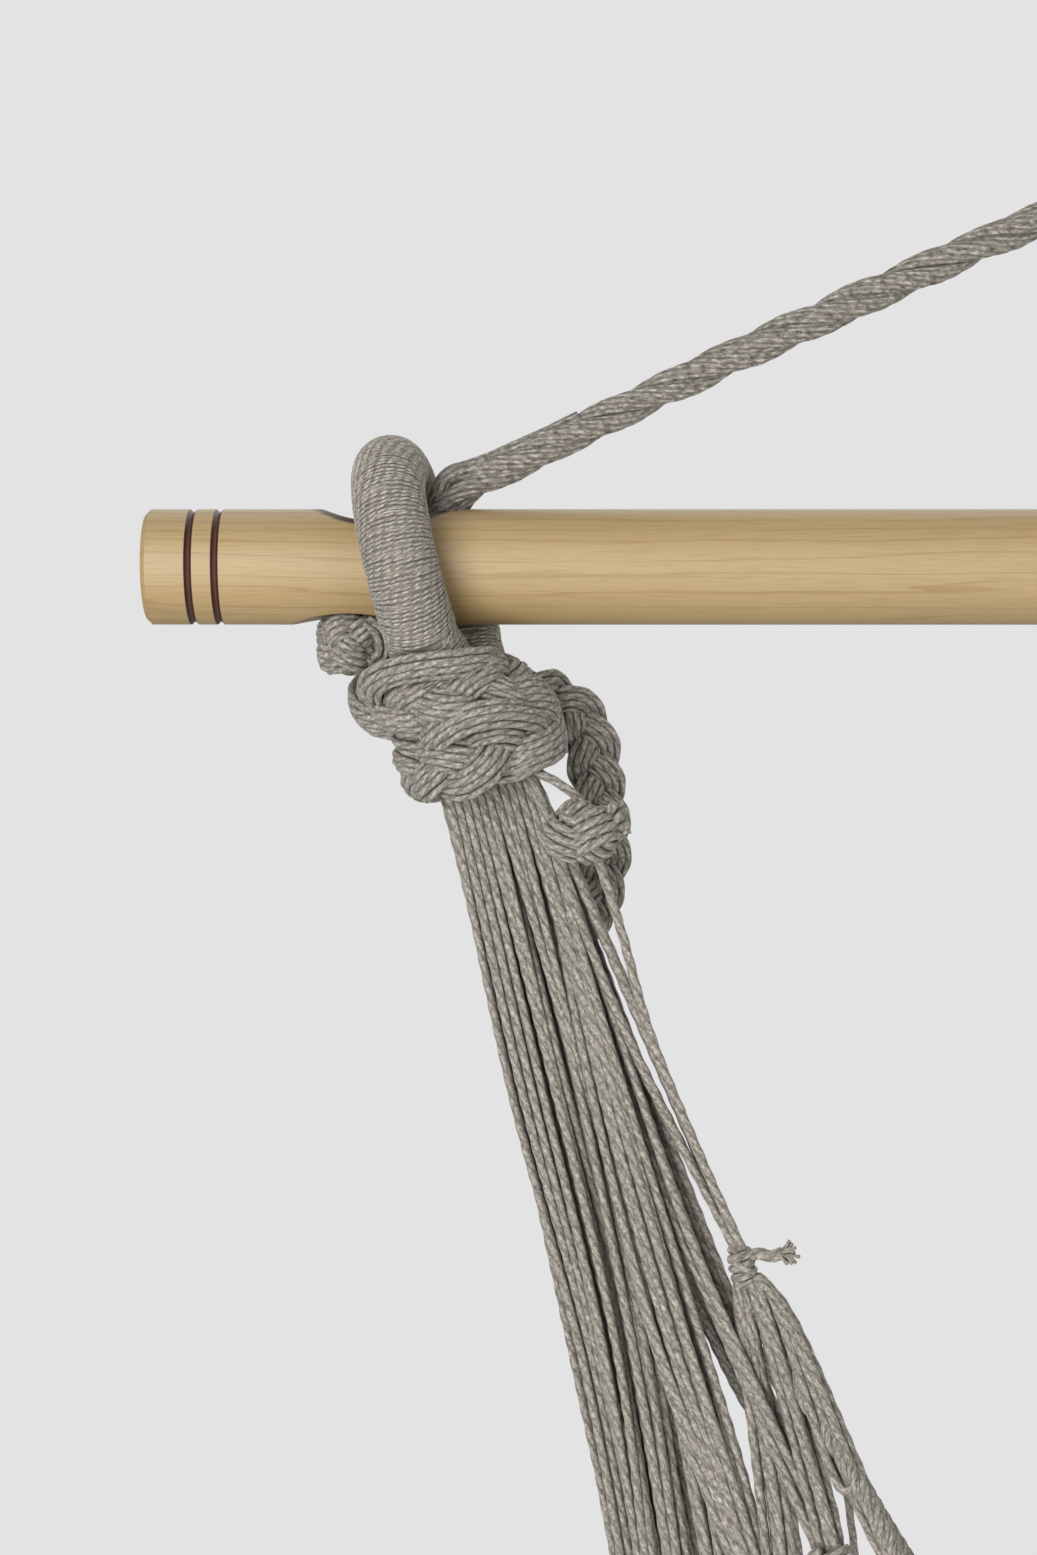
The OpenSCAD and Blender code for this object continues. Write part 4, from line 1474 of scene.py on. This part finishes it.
@dataclass
class EdgeGather:
    """What gathers the edges of the seat: lead, round knot, edge cord, ties, stays, fans and selvedges.

    Its places are those of the left front; the back ones mirror them, but for a tie further out.
    """

    finishes: Finishes
    throat: Throat
    bed: NetBed
    tie_at: Point = (80.0, -30.0, -148.0)
    back_out: float = 24.0
    knot_at: Point = (31.5, -25.0, -11.0)
    knot_d: float = 22.0
    cut_ends: int = 6
    cut_way: Point = (0.75, -0.25, 0.62)
    cut_root: Point = (0.9, -0.3, 0.35)
    cut_depth: float = 5.5
    cut_len: tuple[float, float] = (4.5, 8.5)
    cut_stray: float = 0.2
    lead_root: Point = (4.0, -8.0, 18.0)
    lead_from: Point = (14.0, -13.0, 10.0)
    lead_bow: Point = (2.0, 0.0, 4.0)
    lead_to: Point = (1.0, 0.0, 6.5)
    edge_to: Point = (1.2, -1.6, 2.0)
    edge_bows: tuple[tuple[float, float], ...] = ((0.04, 0.0), (0.22, -1.0), (0.47, -4.0), (0.75, -2.5))
    tie_lean: Point = (0.2, -0.05, -1.0)
    tie_turns: float = 4.2
    tie_len: float = 12.5
    tie_r: float = 3.1
    tie_taper: float = 1.0
    tie_ball_r: float = 3.5
    tie_tails: tuple[Point, ...] = ((10.5, -4.0, 2.0), (3.0, 9.0, -4.0))
    tail_rise: float = 3.2
    tail_bends: tuple[tuple[float, float], ...] = ((0.0, 0.0), (0.45, 0.4), (0.8, -0.8), (1.15, 0.0))
    tufts: int = 15
    tuft_len: tuple[float, float] = (2.2, 1.6)
    stay_along: tuple[float, float] = (15.9, 13.0)
    stay_rows: tuple[float, float] = (-2.3, -6.9)
    stay_tuck: tuple[float, float] = (9.0, 3.0)
    stay_sway: float = 1.0
    stay_bow: float = 2.5
    fan_loops: tuple[int, int] = (4, 5)
    per_loop: int = 7
    edge_rows: int = 3
    bunch: float = 0.022
    bunches: int = 6
    fan_layer: float = 3.0
    fan_width: float = 8.5
    fan_share: float = 0.6
    fan_sway: float = 0.9
    selvedge_lay: float = 24.0

    def __post_init__(self) -> None:
        """Places the tie and the round knot."""
        self.tie = self.throat.end + self.tie_at
        self.knot = self.throat.end + self.knot_at

    def build(self) -> None:
        """Makes every piece of both gathers."""
        for half, seed in ((Side.LEFT, 21), (Side.RIGHT, 22)):
            chance = np.random.default_rng(seed)
            self._lead(half)
            self._round_knot(half, chance)
            self._edge_cord(half)
            for face, tail in zip(Face, self.tie_tails):
                self._tie(half, face, vec(*tail), chance)
                self._stays(half, face, chance)
                self._fan(half, face, chance)

    def _piece(self, mesh: CordMesh, name: str, half: Side, node: str) -> bpy.types.Object:
        """Makes one piece of plied cord on the seat."""
        return mesh.piece(name, half, self.finishes.cord, Body.SEAT, "cord", node)

    def _lead(self, half: Side) -> None:
        """Runs the cord that leads from the plait knot into the round one.

        Args:
            half: The half that it is for.
        """
        start = self.throat.end + self.lead_from
        middle = (start + self.knot) / 2 + self.lead_bow
        mesh = CordMesh()
        line = mesh.cord([self.throat.end + self.lead_root, start, middle, self.knot + self.lead_to], CORD)
        piece = self._piece(mesh, "edge_lead_cord", half, "edge_lead")

    def _round_knot(self, half: Side, chance: np.random.Generator) -> None:
        """Winds the round knot, with its cut ends.

        Args:
            half: The half that it is for.
            chance: Where its small unevenness comes from.
        """
        mesh = CordMesh()
        for part in ROUND_KNOT:
            mesh.wind_ball(self.knot + part.off, self.knot_d / 2 - part.sink, unit(vec(*part.axis)),
                           part.count, part.share, part.start)
        for index in range(self.cut_ends):
            way = unit(self.cut_way + chance.normal(0, self.cut_stray, 3))
            rise = index - (self.cut_ends - 1) / 2
            root = self.knot + self.cut_depth * unit(vec(*self.cut_root)) + rise * UP
            mesh.cord([root, *(root + reach * way for reach in self.cut_len)], CORD)
        self._piece(mesh, "round_edge_knot", half, "edge_knot")

    def _edge_cord(self, half: Side) -> None:
        """Runs the edge cord from the round knot to the tie.

        Args:
            half: The half that it is for.
        """
        landing = self.tie + self.edge_to
        run = landing - self.knot
        line = [self.knot + share * run + vec(bow, 0, 0) for share, bow in self.edge_bows]
        mesh = CordMesh()
        line = mesh.cord([*line, landing - 4 * unit(run)], CORD)
        piece = self._piece(mesh, "edge_cord_line", half, "edge_cord")

    def _flip(self, points: Sequence[Vec], face: Face) -> list[Vec]:
        """Front points, or their match at the back."""
        return [point * vec(1, -face.value, 1) for point in points]

    def _gathered(self, face: Face) -> Vec:
        """Where the cords are gathered, before the flip: the back tie sits further out."""
        return self.tie if face is Face.FRONT else self.tie - vec(self.back_out, 0, 0)

    def _tie(self, half: Side, face: Face, tail: Vec, chance: np.random.Generator) -> None:
        """Winds a tie's knot, with its frayed tail.

        Args:
            half: The half that it is for.
            face: The seat's edge that it gathers.
            tail: How far its tail reaches.
            chance: Where its small unevenness comes from.
        """
        mesh = CordMesh()
        lean, centre = self._flip([vec(*self.tie_lean), self._gathered(face)], face)
        axis = unit(lean)
        side = unit(np.cross(axis, FRONT))
        share = np.linspace(-0.5, 0.5, 110)
        radial = spokes(TURN * self.tie_turns * share, side, np.cross(axis, side))
        reach = self.tie_r - self.tie_taper * (2 * np.abs(share[:, None])) ** 3
        mesh.sweep(centre + reach * radial + self.tie_len * share[:, None] * axis, radial, CORD)
        mesh.wind_ball(centre, self.tie_ball_r, unit(side + 0.9 * axis), 1)
        line = [centre + self.tail_rise * UP + share * tail + rise * UP for share, rise in self.tail_bends]
        mesh.cord(line, TAIL_CORD)
        out = unit(tail)
        least, more = self.tuft_len
        for tuft in range(self.tufts):
            flare = unit(out + vec(0, 0, 1.1 * (tuft % 3 - 1)) + chance.normal(0, 0.16, 3))
            root = line[-1] - 1.5 * out + chance.normal(0, 0.6, 3)
            bend_to = root + 3.0 * unit(flare + out)
            mesh.cord([root, bend_to, bend_to + (least + more * chance.random()) * flare], FRAY)
        name = face.name.lower()
        self._piece(mesh, f"tie_knot_{name}", half, f"{name}_tie")

    def _stays(self, half: Side, face: Face, chance: np.random.Generator) -> None:
        """Runs cords from the knot's end to a tie.

        Args:
            half: The half that it is for.
            face: The seat's edge that it gathers.
            chance: Where its small unevenness comes from.
        """
        mesh = CordMesh()
        throat = self.throat
        back, out = self.stay_tuck
        for column, along in enumerate(self.stay_along):
            for row, across in enumerate(self.stay_rows):
                foot = throat.end + throat.way + along * throat.side + vec(0, across, 0)
                head = self._gathered(face) + vec(-0.8 * column, (0.5 - row) * 2.0, 3.0)
                tuck = foot - back * throat.way - out * throat.side
                bow = chance.normal(0, self.stay_sway, 3) - vec(self.stay_bow * column, 0, 0)
                mesh.cord(self._flip([tuck, foot, foot + 0.5 * (head - foot) + bow, head], face), CORD)
        name = face.name.lower()
        self._piece(mesh, f"stay_cords_{name}", half, f"{name}_stay")

    def _fan_heads(self) -> list[Vec]:
        """Where the cords of a front fan end, from its outer side to its inner one.

        Returns:
            The places.
        """
        heads = []
        for index in self.fan_loops:
            loop = self.bed.point(-1, -self.bed.loop_across(index))
            for place in range(self.per_loop):
                column, row = place / (self.per_loop - 1) - 0.5, place % 2 - 0.5
                heads.append(loop + vec(6.0 * column, -3.4 * row, -1.0))
        for row in range(self.edge_rows):
            edge = self.bed.selvedge_point(row)
            heads += [edge + vec(-0.6, 0.9, 0), edge + vec(0.6, -0.9, 0)]
        return heads

    def _fan(self, half: Side, face: Face, chance: np.random.Generator) -> None:
        """Spreads cords from a tie to the edge loops of the net, a little bunched.

        Args:
            half: The half that it is for.
            face: The seat's edge that it gathers.
            chance: Where its small unevenness comes from.
        """
        mesh = CordMesh()
        heads = self._fan_heads()
        tie = self._gathered(face)
        for order, head in enumerate(heads):
            place = order / (len(heads) - 1)
            place += self.bunch * math.sin(TURN * self.bunches * place)
            layer = self.fan_layer * (order % 2 - 0.5)
            root = tie + vec(2.6 * (place - 0.5), 0.4 * layer, -3.0)
            shoulder = root + 0.1 * (head - root) + vec(self.fan_width * place - 1.2, layer, 0)
            spread = tie + self.fan_share * (heads[0] - tie + place * (heads[-1] - heads[0]))
            middle = 0.5 * (spread + root + self.fan_share * (head - root)) + vec(0, layer, 0)
            middle = middle + chance.normal(0, self.fan_sway, 3)
            mesh.cord(self._flip([root, shoulder, middle, head], face), CORD)
        name = face.name.lower()
        self._piece(mesh, f"fan_cords_{name}", half, f"{name}_fan")

    def selvedges(self) -> None:
        """Lays the cord along each edge of the bed, from tie to tie."""
        bed = self.bed
        edge = [bed.selvedge_point(row) for row in range(2 * bed.rows + 1)]
        reach = (bed.selvedge_d - EDGE_STRAND.diameter) / 2
        for face in Face:
            first = self._gathered(face) + vec(0.0, 2.0, -4.0)
            shoulder = first + 0.45 * (edge[0] - first) + vec(-2.0, 5.0, 0)
            line = [first, shoulder, *edge, shoulder * vec(-1, 1, 1), first * vec(-1, 1, 1)]
            spine = smooth_path(self._flip(line, face), EDGE_STRAND.step)
            mesh = CordMesh()
            mesh.lay_strands(spine, EDGE_STRAND, reach, self.selvedge_lay)
            name = face.name.lower()
            piece = mesh.piece(f"laid_selvedge_{name}", None, self.finishes.selvedge, Body.SEAT, "cord",
                               f"{name}_selvedge")


@dataclass(frozen=True)
class SoftBox:
    """One lamp: its place, its width and height in metres, and its power in watts."""

    name: str
    at: Point
    size: tuple[float, float]
    watts: float


@dataclass
class Studio:
    """A plain pale floor, soft light and the photograph's camera, in metres."""

    backdrop: str = "#e3e3e3"
    room: str = "#f2f2f2"
    room_light: float = 0.34
    camera_at: Point = (-0.4277, -0.773, -0.0695)
    lens: float = 54.2
    sensor: float = 36.0
    clip_end: float = 50.0
    floor_drop: float = 0.32
    floor_reach: float = 2.6
    floor_sides: int = 64
    aim: Point = (-0.1, 0.0, -0.7)
    lamps: tuple[SoftBox, ...] = (
        SoftBox("key_softbox", (-1.4, -2.3, -0.6), (1.5, 3.4), 77),
        SoftBox("fill_softbox", (1.9, -2.4, -1.0), (2.0, 2.0), 22),
        SoftBox("back_softbox", (0.3, 2.4, 1.4), (4.6, 4.6), 78))

    def camera(self) -> None:
        """Sets the camera level, square to the bar."""
        data = bpy.data.cameras.new("photo_camera")
        data.sensor_fit = "VERTICAL"
        data.sensor_height = self.sensor
        data.lens = self.lens
        data.clip_end = self.clip_end
        camera = link("photo_camera", data)
        camera.location = vec(*self.camera_at) + BAR_Z * MM * UP
        camera.rotation_euler = (math.pi / 2, 0, 0)
        bpy.context.scene.camera = camera

    def lights(self) -> None:
        """Lights the chair from the front, a little more from the left, and from behind."""
        for box in self.lamps:
            data = bpy.data.lights.new(box.name, "AREA")
            data.shape = "RECTANGLE"
            data.size, data.size_y = box.size
            data.energy = box.watts
            lamp = link(box.name, data)
            lamp.location = box.at
            way = unit(vec(*self.aim) - vec(*box.at))
            lamp.rotation_euler = (math.acos(-way[2]), 0, math.atan2(way[1], way[0]) - math.pi / 2)

    def world(self) -> None:
        """Fills the room with even grey light in front of a plain backdrop."""
        world = bpy.data.worlds.new("studio")
        bpy.context.scene.world = world
        tree = empty_tree(world)
        seen = add_node(tree, "Background", {0: self.backdrop, 1: 1.0})
        room = add_node(tree, "Background", {0: self.room, 1: self.room_light})
        rays = add_node(tree, "LightPath", output="Is Camera Ray")
        add_node(tree, "OutputWorld", {0: add_node(tree, "MixShader", {0: rays, 1: room, 2: seen})})

    def floor(self) -> None:
        """Lays the paper floor below the chair."""
        angles = np.linspace(0, TURN, self.floor_sides, endpoint=False)
        places = [(self.floor_reach * math.cos(a), self.floor_reach * math.sin(a), 0.0) for a in angles]
        mesh = bpy.data.meshes.new("paper_floor")
        mesh.from_pydata(places, [], [list(range(self.floor_sides))])
        mesh.materials.append(PalePaper().material())
        floor = link("paper_floor", mesh)
        floor.location = (0, 0, CAD_BOX[0][2] - self.floor_drop)

    def build(self) -> None:
        """Sets up the whole studio."""
        bpy.context.scene.view_settings.view_transform = "Standard"
        self.camera()
        self.lights()
        self.world()
        self.floor()


def main() -> None:
    """Builds the chair's pieces in order."""
    logging.basicConfig(level=logging.INFO, format="%(name)s: %(message)s")
    Studio().build()
    finishes = Finishes()
    throat = Throat()
    bed = NetBed(finishes)
    bridle = Bridle(finishes)
    bridle.ropes()
    SpreaderBar(finishes).dress()
    bridle.stopper_knots()
    bridle.hanging_loop()
    bridle.seizing()
    WhippedEye(finishes, throat).build()
    PlaitKnot(finishes, throat).build()
    PlaitTail(finishes, throat).build()
    ArmCords(finishes, throat, bed).build()
    gather = EdgeGather(finishes, throat, bed)
    gather.build()
    gather.selvedges()
    bed.build()


if __name__ == "__main__":
    main()
